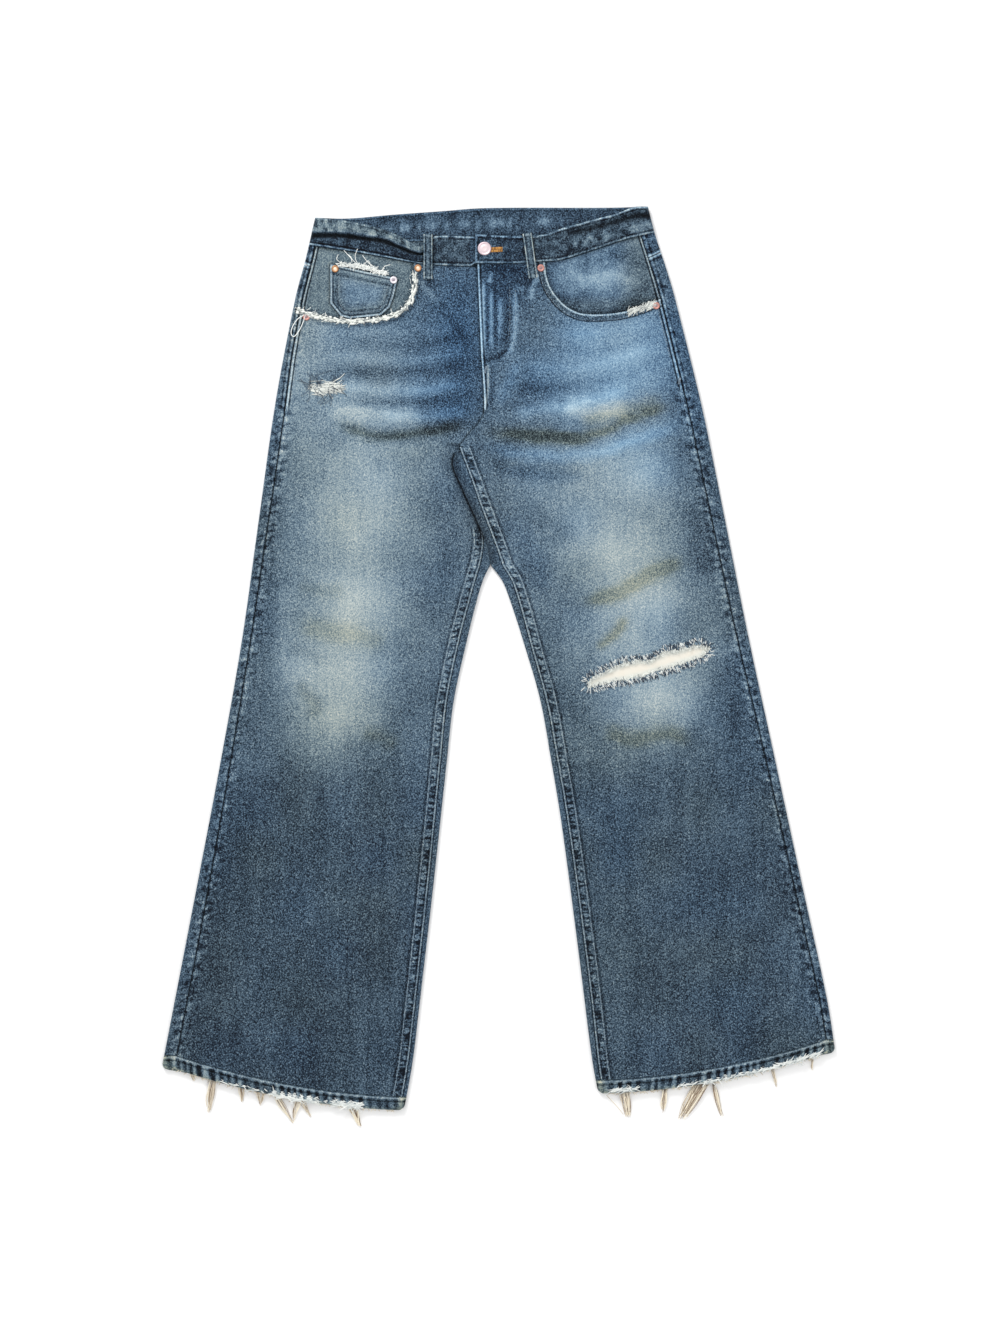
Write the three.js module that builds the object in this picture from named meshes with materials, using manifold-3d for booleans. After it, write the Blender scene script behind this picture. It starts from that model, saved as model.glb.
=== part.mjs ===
// A pair of ripped, flared jeans laid flat on their back, as a three.js scene graph.
// Millimetres, +Z up. +Y runs from the hems to the waist, and -X is the wearer's right leg.
// Each leg is a flattened tube of a front and a back panel, and the back panels reach round
// the side folds on to the top face, where the seams lie.
import * as THREE from "three";
import { mergeVertices } from "three/addons/utils/BufferGeometryUtils.js";
import Module from "manifold-3d";

const wasm = await Module();
wasm.setup();

// ---- driving dimensions ----
const cloth = 1.3; // wall of one layer of denim
const gap = 0.3; // between pieces that are sewn together
const layer = cloth + gap; // step from one layer of cloth to the next
const bandCloth = 2.4; // waistband, two layers with their turnings
const hemCloth = 2.2; // turned-up hem
const hemDepth = 17;
const hipTop = 6.6; // height of the top face at the side folds, over the hips
const hipCrown = 1.4; // and how much it rises towards the middle
const legTop = 5.2;
const legCrown = 0.8;
const seatFloor = 1.6; // the seat lies on its pockets and belt loops
const seatFloorEnd = [205, 252]; // Y range where the seat comes down to the floor
const hipToLeg = [170, 255]; // Y range where one tube becomes two
const flapLift = 3.5; // the left thigh lies over the end of the right one at the crotch
const hemBow = -10.5; // the hems sag between their ends
const fourWay = 275; // Y where the rise seams meet the inseams
const riseCorner = 320; // Y where the rise seam turns off the fly edge
const crotch = 126; // Y of the notch between the legs

// ---- small tools ----
const clamp01 = (t) => Math.min(1, Math.max(0, t));
const lerp = (a, b, t) => a + (b - a) * t;
const smooth = (from, to, v) => {
  const t = clamp01((v - from) / (to - from));
  return t * t * (3 - 2 * t);
};

// A smooth function through a few [place, value] knots, with places in either order.
function through(...knots) {
  const k = [...knots].sort((a, b) => a[0] - b[0]);
  const slope = k.map((p, i) => {
    const before = k[Math.max(0, i - 1)];
    const after = k[Math.min(k.length - 1, i + 1)];
    return (after[1] - before[1]) / (after[0] - before[0]);
  });
  return (v) => {
    if (v <= k[0][0]) return k[0][1] + slope[0] * (v - k[0][0]);
    const last = k.length - 1;
    if (v >= k[last][0]) return k[last][1] + slope[last] * (v - k[last][0]);
    const i = k.findIndex((p, n) => n < last && v <= k[n + 1][0]);
    const [a, b] = [k[i], k[i + 1]];
    const h = b[0] - a[0];
    const t = (v - a[0]) / h;
    return (
      (2 * t ** 3 - 3 * t ** 2 + 1) * a[1] + (t ** 3 - 2 * t ** 2 + t) * h * slope[i] +
      (3 * t ** 2 - 2 * t ** 3) * b[1] + (t ** 3 - t ** 2) * h * slope[i + 1]
    );
  };
}

// A closed solid from rows of outer points and rows of inner points of the same size.
// A ring closes on itself across its columns.
function shell(outer, inner, ring = false) {
  const rows = outer.length;
  const cols = outer[0].length;
  const at = (r, c) => r * cols + (c % cols);
  const points = [...outer.flat(), ...inner.flat()];
  const back = rows * cols;
  const faces = [];
  const quad = (a, b, c, d) => faces.push(a, b, c, a, c, d);
  for (let r = 0; r + 1 < rows; r++) {
    for (let c = 0; c + (ring ? 0 : 1) < cols; c++) {
      const [p, q, s, t] = [at(r, c), at(r, c + 1), at(r + 1, c + 1), at(r + 1, c)];
      quad(p, q, s, t);
      quad(back + t, back + s, back + q, back + p);
    }
  }
  for (let c = 0; c + (ring ? 0 : 1) < cols; c++) {
    quad(at(0, c + 1), at(0, c), back + at(0, c), back + at(0, c + 1));
    const end = rows - 1;
    quad(at(end, c), at(end, c + 1), back + at(end, c + 1), back + at(end, c));
  }
  if (!ring) {
    for (let r = 0; r + 1 < rows; r++) {
      quad(at(r, 0), at(r + 1, 0), back + at(r + 1, 0), back + at(r, 0));
      quad(at(r + 1, cols - 1), at(r, cols - 1), back + at(r, cols - 1), back + at(r + 1, cols - 1));
    }
  }
  const g = new THREE.BufferGeometry();
  g.setAttribute("position", new THREE.Float32BufferAttribute(points.flat(), 3));
  g.setIndex(faces);
  if (signedVolume(g) < 0) {
    for (let i = 0; i < faces.length; i += 3) [faces[i], faces[i + 1]] = [faces[i + 1], faces[i]];
    g.setIndex(faces);
  }
  return g;
}

function signedVolume(g) {
  const p = g.getAttribute("position");
  const [a, b, c] = [new THREE.Vector3(), new THREE.Vector3(), new THREE.Vector3()];
  let sum = 0;
  for (let i = 0; i < g.index.count; i += 3) {
    a.fromBufferAttribute(p, g.index.getX(i));
    b.fromBufferAttribute(p, g.index.getX(i + 1));
    c.fromBufferAttribute(p, g.index.getX(i + 2));
    sum += a.dot(b.cross(c));
  }
  return sum / 6;
}

function solid(geometry) {
  const g = geometry.clone();
  g.deleteAttribute("normal");
  g.deleteAttribute("uv");
  const merged = mergeVertices(g, 1e-4);
  return new wasm.Manifold(
    new wasm.Mesh({
      numProp: 3,
      vertProperties: merged.attributes.position.array,
      triVerts: new Uint32Array(merged.index.array),
    }),
  );
}

function geometryOf(manifold) {
  const m = manifold.getMesh();
  const g = new THREE.BufferGeometry();
  g.setAttribute("position", new THREE.BufferAttribute(new Float32Array(m.vertProperties), 3));
  g.setIndex(new THREE.BufferAttribute(new Uint32Array(m.triVerts), 1));
  g.computeVertexNormals();
  return g;
}

// An upright prism of a closed outline, for cutting panels to shape.
function prism(outline, low = -5, high = 30) {
  const g = new THREE.ExtrudeGeometry(new THREE.Shape(outline.map(([x, y]) => new THREE.Vector2(x, y))), {
    depth: high - low,
    bevelEnabled: false,
  });
  g.translate(0, 0, low);
  return solid(g);
}

const smoothLine = (points, steps) =>
  new THREE.CatmullRomCurve3(points.map(([x, y]) => new THREE.Vector3(x, y, 0)), false, "centripetal")
    .getPoints(steps)
    .map((p) => [p.x, p.y]);

// ---- materials ----
const denim = new THREE.MeshStandardMaterial({ color: 0x6f8599, roughness: 0.92 });
const darkDenim = new THREE.MeshStandardMaterial({ color: 0x4b5c6e, roughness: 0.92 });
const fadedDenim = new THREE.MeshStandardMaterial({ color: 0x93a6ba, roughness: 0.92 });
const creamCotton = new THREE.MeshStandardMaterial({ color: 0xefe9d8, roughness: 0.95 });
const frayedCotton = new THREE.MeshStandardMaterial({ color: 0xd9c9a8, roughness: 0.95 });
const copper = new THREE.MeshStandardMaterial({ color: 0xd79a6b, roughness: 0.35, metalness: 1 });
const paleCopper = new THREE.MeshStandardMaterial({ color: 0xe6cfc8, roughness: 0.35, metalness: 1 });

// ---- the cut of the two legs, as they lie ----
// side is the sign of X towards the leg's outer fold. waistY and hemY hold the heights of the
// waist seam and the hem at the outer fold and at the centre or the inner fold.
const rise = through([500, -26.4], [400, -22.3], [riseCorner, -18], [306, -23.6], [291, -37], [fourWay, -49.4]);
const thighFold = through([fourWay, -50], [253, -57], [225, -46.5], [195, -33], [155, -16], [132, -10.6], [crotch, -10]);
const centreBack = through([534, -18], [crotch, -10]);
const backWaist = through([-235, 526], [-18, 534], [195, 541]); // height of the waist seam behind

const legs = {
  right: {
    side: -1,
    waistY: [526, 499],
    hemY: [-503, -555],
    fold: through([560, -229], [508, -241], [458, -254], [333, -278], [183, -299.5], [33, -320.5],
      [-118, -347], [-268, -375.5], [-418, -404.5], [-503, -421]),
    outSeamInset: through([526, 8], [400, 10], [300, 13.5], [33, 11], [-290, 15], [-503, 16]),
    innerFold: through([crotch, -10.6], [107, -19.4], [82, -27], [32, -39.4], [-42, -55.6], [-118, -64.4],
      [-268, -80.6], [-418, -98], [-493, -107], [-555, -118]),
    inSeamInset: through([crotch, 8], [107, 12], [32, 10], [-42, 8.5], [-190, 7], [-417, 5.5], [-555, 5]),
    waistLine: through([-235, 526], [-193, 519.4], [-159, 513.8], [-108, 504.3], [-80, 501], [-27, 499]),
  },
  left: {
    side: 1,
    waistY: [541, 503],
    hemY: [-483, -534],
    fold: through([573, 187], [541, 195], [508, 205.6], [458, 220.6], [333, 252], [258, 268], [183, 283],
      [33, 313], [-117, 345.6], [-267, 378], [-417, 410.6], [-483, 421]),
    outSeamInset: through([541, 17], [350, 18], [108, 15.5], [-120, 11.5], [-483, 9]),
    innerFold: through([crotch, -10], [107, 4.4], [82, 14.4], [32, 30.6], [-42, 52], [-117, 65.6], [-192, 78],
      [-342, 98], [-492, 117], [-536, 125]),
    inSeamInset: through([crotch, 15], [107, 12], [70, 10], [8, 7.5], [-107, 7.5], [-417, 8.5], [-534, 6]),
    waistLine: through([-27, 503], [20, 503], [52, 505], [77, 507], [121, 520.6], [155, 532], [192, 541]),
  },
};
const leftInSeamOverFold = through([fourWay, -49.4], [235, -34.5], [193, -19.4], [147, -2], [crotch, 5]);

// The front panel's inner border: the rise seam, then the inseam. The right leg's front panel
// runs a little way in under the thigh fold of the left one.
function innerBorder(leg, y) {
  if (y > fourWay) return rise(y);
  if (y < crotch) return leg.innerFold(y) + leg.side * leg.inSeamInset(y);
  if (leg.side > 0) return leftInSeamOverFold(y);
  const under = lerp(-0.6, 8, smooth(150, 168, y) * smooth(fourWay - 1, 262, y));
  return lerp(innerFoldStart, thighFold(y) + under, smooth(crotch, 150, y));
}
const innerFoldStart = legs.right.innerFold(crotch) - legs.right.inSeamInset(crotch);

// A row is a line across a leg. It is named by the height of its inner end.
function rowOf(leg, innerY) {
  const f = (leg.waistY[1] - innerY) / (leg.waistY[1] - leg.hemY[1]);
  const outerY = lerp(leg.waistY[0], leg.hemY[0], f);
  const seam = leg.fold(outerY) - leg.side * leg.outSeamInset(outerY);
  const far = innerY > crotch ? centreBack(innerY) : leg.innerFold(innerY);
  return { leg, f, innerY, outerY, edge: leg.fold(outerY), far, seam, inner: innerBorder(leg, innerY) };
}

// Height along +Y of a row at x, on the front or on the back of the garment.
function rowY(row, x, onBack = false) {
  const { leg } = row;
  const [from, to] = onBack ? [row.edge, row.far] : [row.seam, row.inner];
  const u = clamp01((x - from) / (to - from));
  const chord = lerp(leg.waistY[0], leg.waistY[1], u);
  const straight = lerp(row.outerY, row.innerY, u);
  if (onBack) return straight + (backWaist(x) - chord) * (1 - smooth(0, 0.21, row.f));
  const hem = hemBow * 4 * u * (1 - u) * smooth(0.85, 1, row.f);
  return straight + hem + (leg.waistLine(x) - chord) * (1 - smooth(0, 0.1, row.f));
}

const floorAt = (y) => seatFloor * smooth(seatFloorEnd[0], seatFloorEnd[1], y);
const hipShare = (y) => smooth(hipToLeg[0], hipToLeg[1], y);
const liftAt = (y) => (y > riseCorner - 2 ? 0 : flapLift * smooth(crotch, 150, y));
const foldTop = (y) => lerp(legTop, hipTop, hipShare(y));

// Height of the top face at x on a row.
function topZ(row, x) {
  const { leg, innerY } = row;
  const y = innerY;
  const hipAcross = clamp01((x - legs.right.fold(y)) / (legs.left.fold(y) - legs.right.fold(y)));
  const inner = y > crotch ? (leg.side > 0 ? thighFold(Math.min(y, fourWay)) : row.inner) : leg.innerFold(y);
  const legAcross = clamp01((x - row.edge) / (inner - row.edge));
  const hip = hipTop + hipCrown * Math.sin(Math.PI * hipAcross) ** 0.7;
  const thigh = legTop + legCrown * Math.sin(Math.PI * legAcross) ** 0.7;
  let z = lerp(thigh, hip, hipShare(y));
  if (leg.side > 0 && y < riseCorner) z += liftAt(y) * (1 - hipShare(y)) * (1 - smooth(0, 60, x - inner));
  if (leg.side < 0 && y < fourWay && y > crotch) {
    const low = floorAt(y) + layer + cloth;
    const near = smooth(thighFold(y) - 24, thighFold(y) - 2, x) * smooth(140, 150, y);
    z = lerp(z, low, near);
  }
  return z;
}

// Points of a section as [x, z], moved in by the wall.
function movedIn(section, wall, closed = false) {
  const n = section.length;
  return section.map((p, i) => {
    const a = section[closed ? (i + n - 1) % n : Math.max(0, i - 1)];
    const b = section[closed ? (i + 1) % n : Math.min(n - 1, i + 1)];
    const [dx, dz] = [b[0] - a[0], b[1] - a[1]];
    const l = Math.hypot(dx, dz);
    return [p[0] + (dz / l) * wall, p[1] - (dx / l) * wall];
  });
}

// Half a stadium end: from the top face round a fold to the bottom face, or back up.
const arcSteps = 3;
function foldArc(edge, toward, low, high, upward = false) {
  const r = (high - low) / 2;
  return Array.from({ length: arcSteps + 1 }, (_, i) => {
    const a = Math.PI * (i / arcSteps - 0.5) * (upward ? 1 : -1);
    return [edge + toward * r * (1 - Math.cos(a)), (low + high) / 2 + r * Math.sin(a)];
  });
}

const evenly = (from, to, n) => Array.from({ length: n }, (_, i) => lerp(from, to, (i + 1) / n));
const panelRows = [470, 425, 362, 322, 317, 298, fourWay + 2, fourWay - 1, 262, 243, 220, 195, 168, 150,
  138, crotch + 2, crotch - 3, 100, 50, -50, -140, -240, -350, -450];
const hemLine = (leg) => leg.hemY[1] + hemDepth + gap / 2;
const waistSeam = 0.8; // from the waist line to the panels
const rowsOf = (leg) => [leg.waistY[1] - waistSeam, ...panelRows, hemLine(leg) + gap / 2];

// ---- front panels ----
function frontPanel(leg) {
  const columns = 6;
  const outer = rowsOf(leg).map((innerY) => {
    const row = rowOf(leg, innerY);
    const from = row.seam - (leg.side * gap) / 2;
    const to = row.inner + (leg.side * gap) / 2;
    return Array.from({ length: columns + 1 }, (_, i) => {
      const x = lerp(from, to, i / columns);
      return [x, rowY(row, x), topZ(row, x)];
    });
  });
  const inner = outer.map((r) => r.map(([x, y, z]) => [x, y, z - cloth]));
  return shell(outer, inner);
}

// ---- back panels and yokes ----
// The section starts at the outseam on the top face, turns round the outer fold, crosses the
// bottom, and ends at the centre back seam or, below the crotch, at the inseam on the top face.
const outerPart = arcSteps + 2; // points up to the bottom of the outer fold
function backSection(row) {
  const { leg, innerY: y, edge } = row;
  const inward = -leg.side;
  const high = foldTop(y);
  const low = floorAt(y);
  const start = row.seam + (leg.side * gap) / 2;
  const arc = foldArc(edge, inward, low, high);
  const half = lerp(start, arc[0][0], 0.5);
  const section = [[start, topZ(row, start)], [half, lerp(topZ(row, start), high, 0.5)], ...arc];
  const restOfBottom = 3;
  const tail = arcSteps + 4; // points beyond the centre back, or round the inner fold
  const bottomTo = (x) => section.push(...evenly(section.at(-1)[0], x, restOfBottom).map((v) => [v, low]));
  const centre = centreBack(y) + (leg.side * gap) / 2;
  if (y < crotch) {
    const arcIn = foldArc(leg.innerFold(y), leg.side, low, foldTop(y), true);
    bottomTo(arcIn[0][0] + leg.side * 3);
    const end = row.inner - (leg.side * gap) / 2;
    const top = topZ(row, end);
    section.push([arcIn[0][0] + leg.side * 1.5, low], ...arcIn);
    section.push([lerp(arcIn.at(-1)[0], end, 0.5), lerp(high, top, 0.5)], [end, top]);
  } else if (leg.side < 0 || y > riseCorner) {
    bottomTo(centre + leg.side * 6);
    section.push(...evenly(centre + leg.side * 6, centre, tail).map((v) => [v, low]));
  } else {
    const under = low + liftAt(y);
    bottomTo(centre + 6);
    section.push([centre + 0.4, under]);
    if (y > fourWay) {
      const end = Math.min(row.inner + 2, centre - 1);
      section.push(...evenly(centre + 0.4, end, tail - 1).map((v) => [v, under]));
    } else {
      const arcIn = foldArc(thighFold(y), 1, under, Math.max(under + 3.4, topZ(row, thighFold(y))), true);
      const end = row.inner - gap / 2;
      section.push(...arcIn);
      section.push([lerp(arcIn.at(-1)[0], end, 0.5), lerp(arcIn.at(-1)[1], topZ(row, end), 0.5)]);
      section.push([end, topZ(row, end)]);
    }
  }
  return section;
}

const yokeDepth = { side: 24, centre: 68 }; // below the waist seam
const yokeShare = (leg, x, row) => clamp01((x - row.edge) / (centreBack(row.innerY) - row.edge));

// Turns a section into points. down shifts a point along the leg, because the yoke seam slants,
// and near the outer fold the point then moves sideways with the fold.
function backPoints(row, section, down, wall = 0) {
  const { leg, outerY, innerY } = row;
  const [high, low] = [foldTop(innerY), floorAt(innerY)];
  const seamAt = (y) => leg.fold(y) - leg.side * leg.outSeamInset(y);
  return movedIn(section, leg.side * wall).map(([x, z], i) => {
    const onBack = clamp01((high - section[i][1]) / (high - low));
    const y = lerp(rowY(row, x), rowY(row, x, true), onBack);
    const sideways = i < 2 ? seamAt(outerY - down(x)) - row.seam : leg.fold(outerY - down(x)) - row.edge;
    return [x + (i > outerPart ? 0 : sideways), y - down(x), z];
  });
}

function backPanel(leg) {
  const outer = [];
  const inner = [];
  for (const innerY of rowsOf(leg)) {
    const row = rowOf(leg, innerY);
    const section = backSection(row);
    const settle = 1 - smooth(0, 0.2, row.f);
    const down = (x) => settle * (gap + lerp(yokeDepth.side, yokeDepth.centre, yokeShare(leg, x, row)));
    outer.push(backPoints(row, section, down));
    inner.push(backPoints(row, section, down, cloth));
  }
  return shell(outer, inner);
}

function yoke(leg) {
  const row = rowOf(leg, leg.waistY[1] - waistSeam);
  const section = backSection(row);
  const down = (x) => lerp(yokeDepth.side, yokeDepth.centre, yokeShare(leg, x, row));
  const shares = [0, 0.34, 0.67, 1];
  const outer = shares.map((s) => backPoints(row, section, (x) => s * down(x)));
  const inner = shares.map((s) => backPoints(row, section, (x) => s * down(x), cloth));
  return shell(outer, inner);
}

// ---- hems ----
function hem(leg) {
  const rows = [hemLine(leg) - gap / 2, leg.hemY[1] + hemDepth / 2, leg.hemY[1]];
  const sections = rows.map((innerY) => {
    const row = rowOf(leg, innerY);
    const high = legTop + 0.6;
    const arcOut = foldArc(row.edge, -leg.side, 0, high);
    const arcIn = foldArc(leg.innerFold(innerY), leg.side, 0, high, true);
    const across = 8;
    const over = (from, to, z) => evenly(from, to, across).slice(0, -1).map((x) => [x, z(x)]);
    const crown = (x) => high + legCrown * Math.sin(Math.PI * clamp01((x - row.edge) / (row.inner - row.edge)));
    const section = [
      ...arcOut,
      ...over(arcOut.at(-1)[0], arcIn[0][0], () => 0),
      ...arcIn,
      ...over(arcIn.at(-1)[0], arcOut[0][0], crown),
    ];
    const onBack = section.map((p) => clamp01(1 - p[1] / high));
    const place = (points) =>
      points.map(([x, z], i) => [x, lerp(rowY(row, x), rowY(row, x, true), onBack[i]), z]);
    return { outer: place(section), inner: place(movedIn(section, leg.side * hemCloth, true)) };
  });
  return shell(sections.map((s) => s.outer), sections.map((s) => s.inner), true);
}

// Frayed yarns hang below each hem in tufts. Each tuft is [x, how far it reaches].
function fringe(leg, tufts) {
  const row = rowOf(leg, leg.hemY[1]);
  const rows = [0, 1].map((far) => tufts.map(([x, reach]) => [x, rowY(row, x) - 2 * gap - far * reach, 1.4]));
  return shell(rows, rows.map((r) => r.map(([x, y]) => [x, y, 0])));
}
const tuftsRight = [[-386, 5], [-360, 38], [-324, 18], [-298, 17], [-258, 34], [-235, 18], [-175, 24], [-140, 5]];
const tuftsLeft = [[132, 8], [150, 31], [205, 29], [240, 40], [272, 44], [292, 16], [346, 17], [392, 8]];

// ---- waistband ----
const band = {
  low: 1.9, // underside of the back, on the belt loops
  high: 9, // top face of the front
  overlap: 2.7, // the buttonhole end lies on the button end
  buttonEnd: -3,
  holeEnd: -29,
  backTop: through([-229, 560], [-189, 559], [-129, 564], [-73, 568], [-18, 572], [139, 572.5], [187, 574]),
  rightTop: through([-229, 560], [-189, 557], [-159, 549], [-120, 541], [-79, 537.5], [-28, 536]),
  leftTop: through([-29, 539], [30, 536.5], [57, 539], [77, 545.8], [116, 557], [144, 564], [169, 573], [187, 574]),
  crease: { from: -236, to: -92, depth: 2 }, // the right half has buckled along its length
};

function waistband() {
  const shares = [0, 0.3, 0.5, 0.7, 1];
  const { low, high } = band;
  const rows = shares.map((v) => {
    const foldX = (leg) => leg.fold(lerp(leg.waistY[0], v > 0 ? lerp(560, 574, leg.side > 0 ? 1 : 0) : leg.waistY[0], v));
    const arcRight = foldArc(foldX(legs.right), 1, low, high);
    const arcLeft = foldArc(foldX(legs.left), -1, low, high, true);
    const trough = (x) =>
      band.crease.depth * Math.max(0, 1 - Math.abs(v - 0.5) / 0.2) *
      smooth(band.crease.to, band.crease.to - 30, x);
    const top = (x) => high - (x < 0 ? trough(x) : 0);
    const ramp = (x) => high + band.overlap * (1 - smooth(2, 24, x));
    const section = [
      ...[band.buttonEnd, ...evenly(band.buttonEnd, arcRight[0][0], 11).slice(0, -1)].map((x) => [x, top(x), 0]),
      ...arcRight.map(([x, z], i) => [x, z, i / arcSteps]),
      ...evenly(arcRight.at(-1)[0], arcLeft[0][0], 12).slice(0, -1).map((x) => [x, low, 1]),
      ...arcLeft.map(([x, z], i) => [x, z, 1 - i / arcSteps]),
      ...[...evenly(arcLeft.at(-1)[0], 24, 6), ...evenly(24, 2, 3), -14, band.holeEnd].map((x) => [x, ramp(x), 0]),
    ];
    return { v, section };
  });
  const yOf = (x, v, onBack, rightHalf) => {
    const underHole = lerp(legs.right.waistLine(x), legs.left.waistLine(-20) + gap, smooth(-36, -28, x));
    const front = rightHalf
      ? lerp(underHole, band.rightTop(x), v)
      : lerp(legs.left.waistLine(x), band.leftTop(x), v);
    return lerp(front, lerp(backWaist(x), band.backTop(x), v), onBack);
  };
  const halfWay = rows[0].section.length / 2;
  const place = (v, section, flags) =>
    section.map(([x, z], i) => [x, yOf(x, v, flags[i][2], i < halfWay), z]);
  return shell(
    rows.map(({ v, section }) => place(v, section, section)),
    rows.map(({ v, section }) => place(v, movedIn(section, -bandCloth), section)),
  );
}

const button = { x: -17.5, y: 521, radius: 8.5, shank: 3, holeEnd: 3.5 };

// The keyhole that the button's shank comes through.
function keyhole() {
  const eye = button.shank + 0.8;
  const slit = 1.3;
  const turn = Math.asin(slit / eye);
  const steps = 14;
  const round = Array.from({ length: steps + 1 }, (_, i) => {
    const a = lerp(turn, 2 * Math.PI - turn, i / steps);
    return [button.x + eye * Math.cos(a), button.y + eye * Math.sin(a)];
  });
  const cut = [...round, [button.holeEnd, button.y - slit], [button.holeEnd, button.y + slit]];
  return prism(cut, band.high + gap / 2, 20);
}

// ---- pockets, fly and knee ----
// Finds the row through a point of the top face, and the face's height there.
function topFace(leg, x, y) {
  let [high, low] = [leg.waistY[1] + 40, leg.hemY[1]];
  for (let i = 0; i < 30; i++) {
    const mid = (high + low) / 2;
    if (rowY(rowOf(leg, mid), x) > y) high = mid;
    else low = mid;
  }
  return topZ(rowOf(leg, (high + low) / 2), x);
}

// A layer of cloth at the given height over the top face, cut to an outline.
function overlay(leg, outline, height, wall, cells = 8) {
  const xs = outline.map((p) => p[0]);
  const ys = outline.map((p) => p[1]);
  const [x0, x1, y0, y1] = [Math.min(...xs) - 1, Math.max(...xs) + 1, Math.min(...ys) - 1, Math.max(...ys) + 1];
  const bottom = Array.from({ length: cells + 1 }, (_, r) =>
    Array.from({ length: cells + 1 }, (_, c) => {
      const [x, y] = [lerp(x0, x1, c / cells), lerp(y0, y1, r / cells)];
      return [x, y, topFace(leg, x, y) + height];
    }),
  );
  const top = bottom.map((r) => r.map(([x, y, z]) => [x, y, z + wall]));
  return geometryOf(solid(shell(top, bottom)).intersect(prism(outline)));
}

// The pocket mouths, from the waistband down and round to the outseam.
const pocketMouth = {
  right: smoothLine([[-106, 512], [-105, 476], [-110, 457.5], [-123, 442.5], [-148, 434], [-186, 431], [-221, 435.5], [-262, 449]], 20),
  left: smoothLine([[58, 512], [59, 493], [64, 475], [73, 461], [87, 447.5], [106, 440], [138, 440], [166, 445], [214, 463]], 20),
};
const mouthCut = (mouth, cornerX) => prism([...mouth, [mouth.at(-1)[0], 580], [cornerX, 580]]);

// The facing behind a pocket mouth runs on under the front panel by the margin.
function facing(leg, mouth, margin) {
  const corner = [leg.fold(500) - leg.side * 12, 500];
  const grown = mouth
    .filter(([x, y]) => y < leg.waistLine(x) - 4 && (x - (leg.fold(y) - leg.side * leg.outSeamInset(y))) * leg.side < -6)
    .map(([x, y]) => {
      const d = Math.hypot(x - corner[0], y - corner[1]);
      return [x + ((x - corner[0]) / d) * margin, y + ((y - corner[1]) / d) * margin];
    });
  const seamX = (y) => leg.fold(y) - leg.side * (leg.outSeamInset(y) + layer);
  const sideTop = leg.waistLine(seamX(520)) - gap;
  const steps = 6;
  const down = Array.from({ length: steps + 1 }, (_, i) => {
    const y = lerp(grown.at(-1)[1], sideTop, i / steps);
    return [seamX(y), y];
  });
  const across = Array.from({ length: steps }, (_, i) => {
    const x = lerp(down.at(-1)[0], grown[0][0], (i + 1) / steps);
    return [x, leg.waistLine(x) - gap];
  });
  return overlay(leg, [...grown, ...down, ...across], -layer - cloth, cloth, 6);
}

const coinPocket = [[-210, 502], [-126, 484], [-134, 450], [-146, 437], [-186, 434], [-199, 436], [-210, 449]];

const flyStitch = { x: 17, turnY: 407, endY: 382 };
function flyFacing() {
  const corner = 6;
  const turn = Array.from({ length: corner + 1 }, (_, i) => {
    const a = (Math.PI / 2) * (i / corner);
    return [
      rise(400) + 2 + (flyStitch.x - rise(400) - 2) * Math.cos(a),
      flyStitch.turnY - (flyStitch.turnY - flyStitch.endY) * Math.sin(a),
    ];
  });
  const top = 502;
  const edge = [390, 420, 450, 480, top].map((y) => [rise(y) + gap, y]);
  return overlay(legs.left, [[flyStitch.x, top], ...turn, ...edge], -layer - cloth, cloth, 6);
}

const kneeRip = { x: 188, y: -1.5, length: 156, height: 21, slant: 15.3 };
function ripOutline(extra) {
  const steps = 18;
  const tilt = THREE.MathUtils.degToRad(kneeRip.slant);
  return Array.from({ length: steps }, (_, i) => {
    const a = (2 * Math.PI * i) / steps;
    const power = (v, p) => Math.sign(v) * Math.abs(v) ** p;
    const along = (kneeRip.length / 2 + extra) * power(Math.cos(a), 0.8);
    const over = (kneeRip.height / 2 + extra) * power(Math.sin(a), 0.6);
    return [
      kneeRip.x + along * Math.cos(tilt) - over * Math.sin(tilt),
      kneeRip.y + along * Math.sin(tilt) + over * Math.cos(tilt),
    ];
  });
}

// A back pocket lies flat on the floor under the seat.
function backPocket(leg) {
  const centreX = leg.side * 112 + 4;
  const topY = 440;
  const [halfTop, halfFoot, deep, point] = [76, 63, 138, 160];
  const shape = new THREE.Shape();
  shape.moveTo(centreX - halfTop, topY);
  shape.lineTo(centreX - halfFoot, topY - deep);
  shape.lineTo(centreX, topY - point);
  shape.lineTo(centreX + halfFoot, topY - deep);
  shape.lineTo(centreX + halfTop, topY);
  return new THREE.ExtrudeGeometry(shape, { depth: cloth, bevelEnabled: false });
}

// ---- belt loops ----
const loop = { width: 10.5, wall: 1.6, length: 56 };
function loopProfile(points) {
  const shape = new THREE.Shape(points.map(([y, z]) => new THREE.Vector2(y, z)));
  const g = new THREE.ExtrudeGeometry(shape, { depth: loop.width, bevelEnabled: false });
  g.translate(0, 0, -loop.width / 2);
  g.rotateY(Math.PI / 2);
  g.rotateX(Math.PI / 2);
  return g;
}

// A front loop is sewn down on the panel below the band, and rises over the band.
function frontLoop() {
  const half = loop.length / 2;
  const step = -11; // just below the band's lower edge, from the loop's middle
  const panel = -0.95; // the panel lies this much under the band's face
  const face = [[-half, panel], [step - 4, panel], [step, 0], [half, 0]];
  return loopProfile([
    ...face.map(([y, z]) => [y, z + gap]),
    ...face.reverse().map(([y, z]) => [y, z + gap + loop.wall]),
  ]);
}

function backLoop() {
  const half = loop.length / 2;
  return loopProfile([[-half, 0], [half, 0], [half, loop.wall], [-half, loop.wall]]);
}

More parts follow.
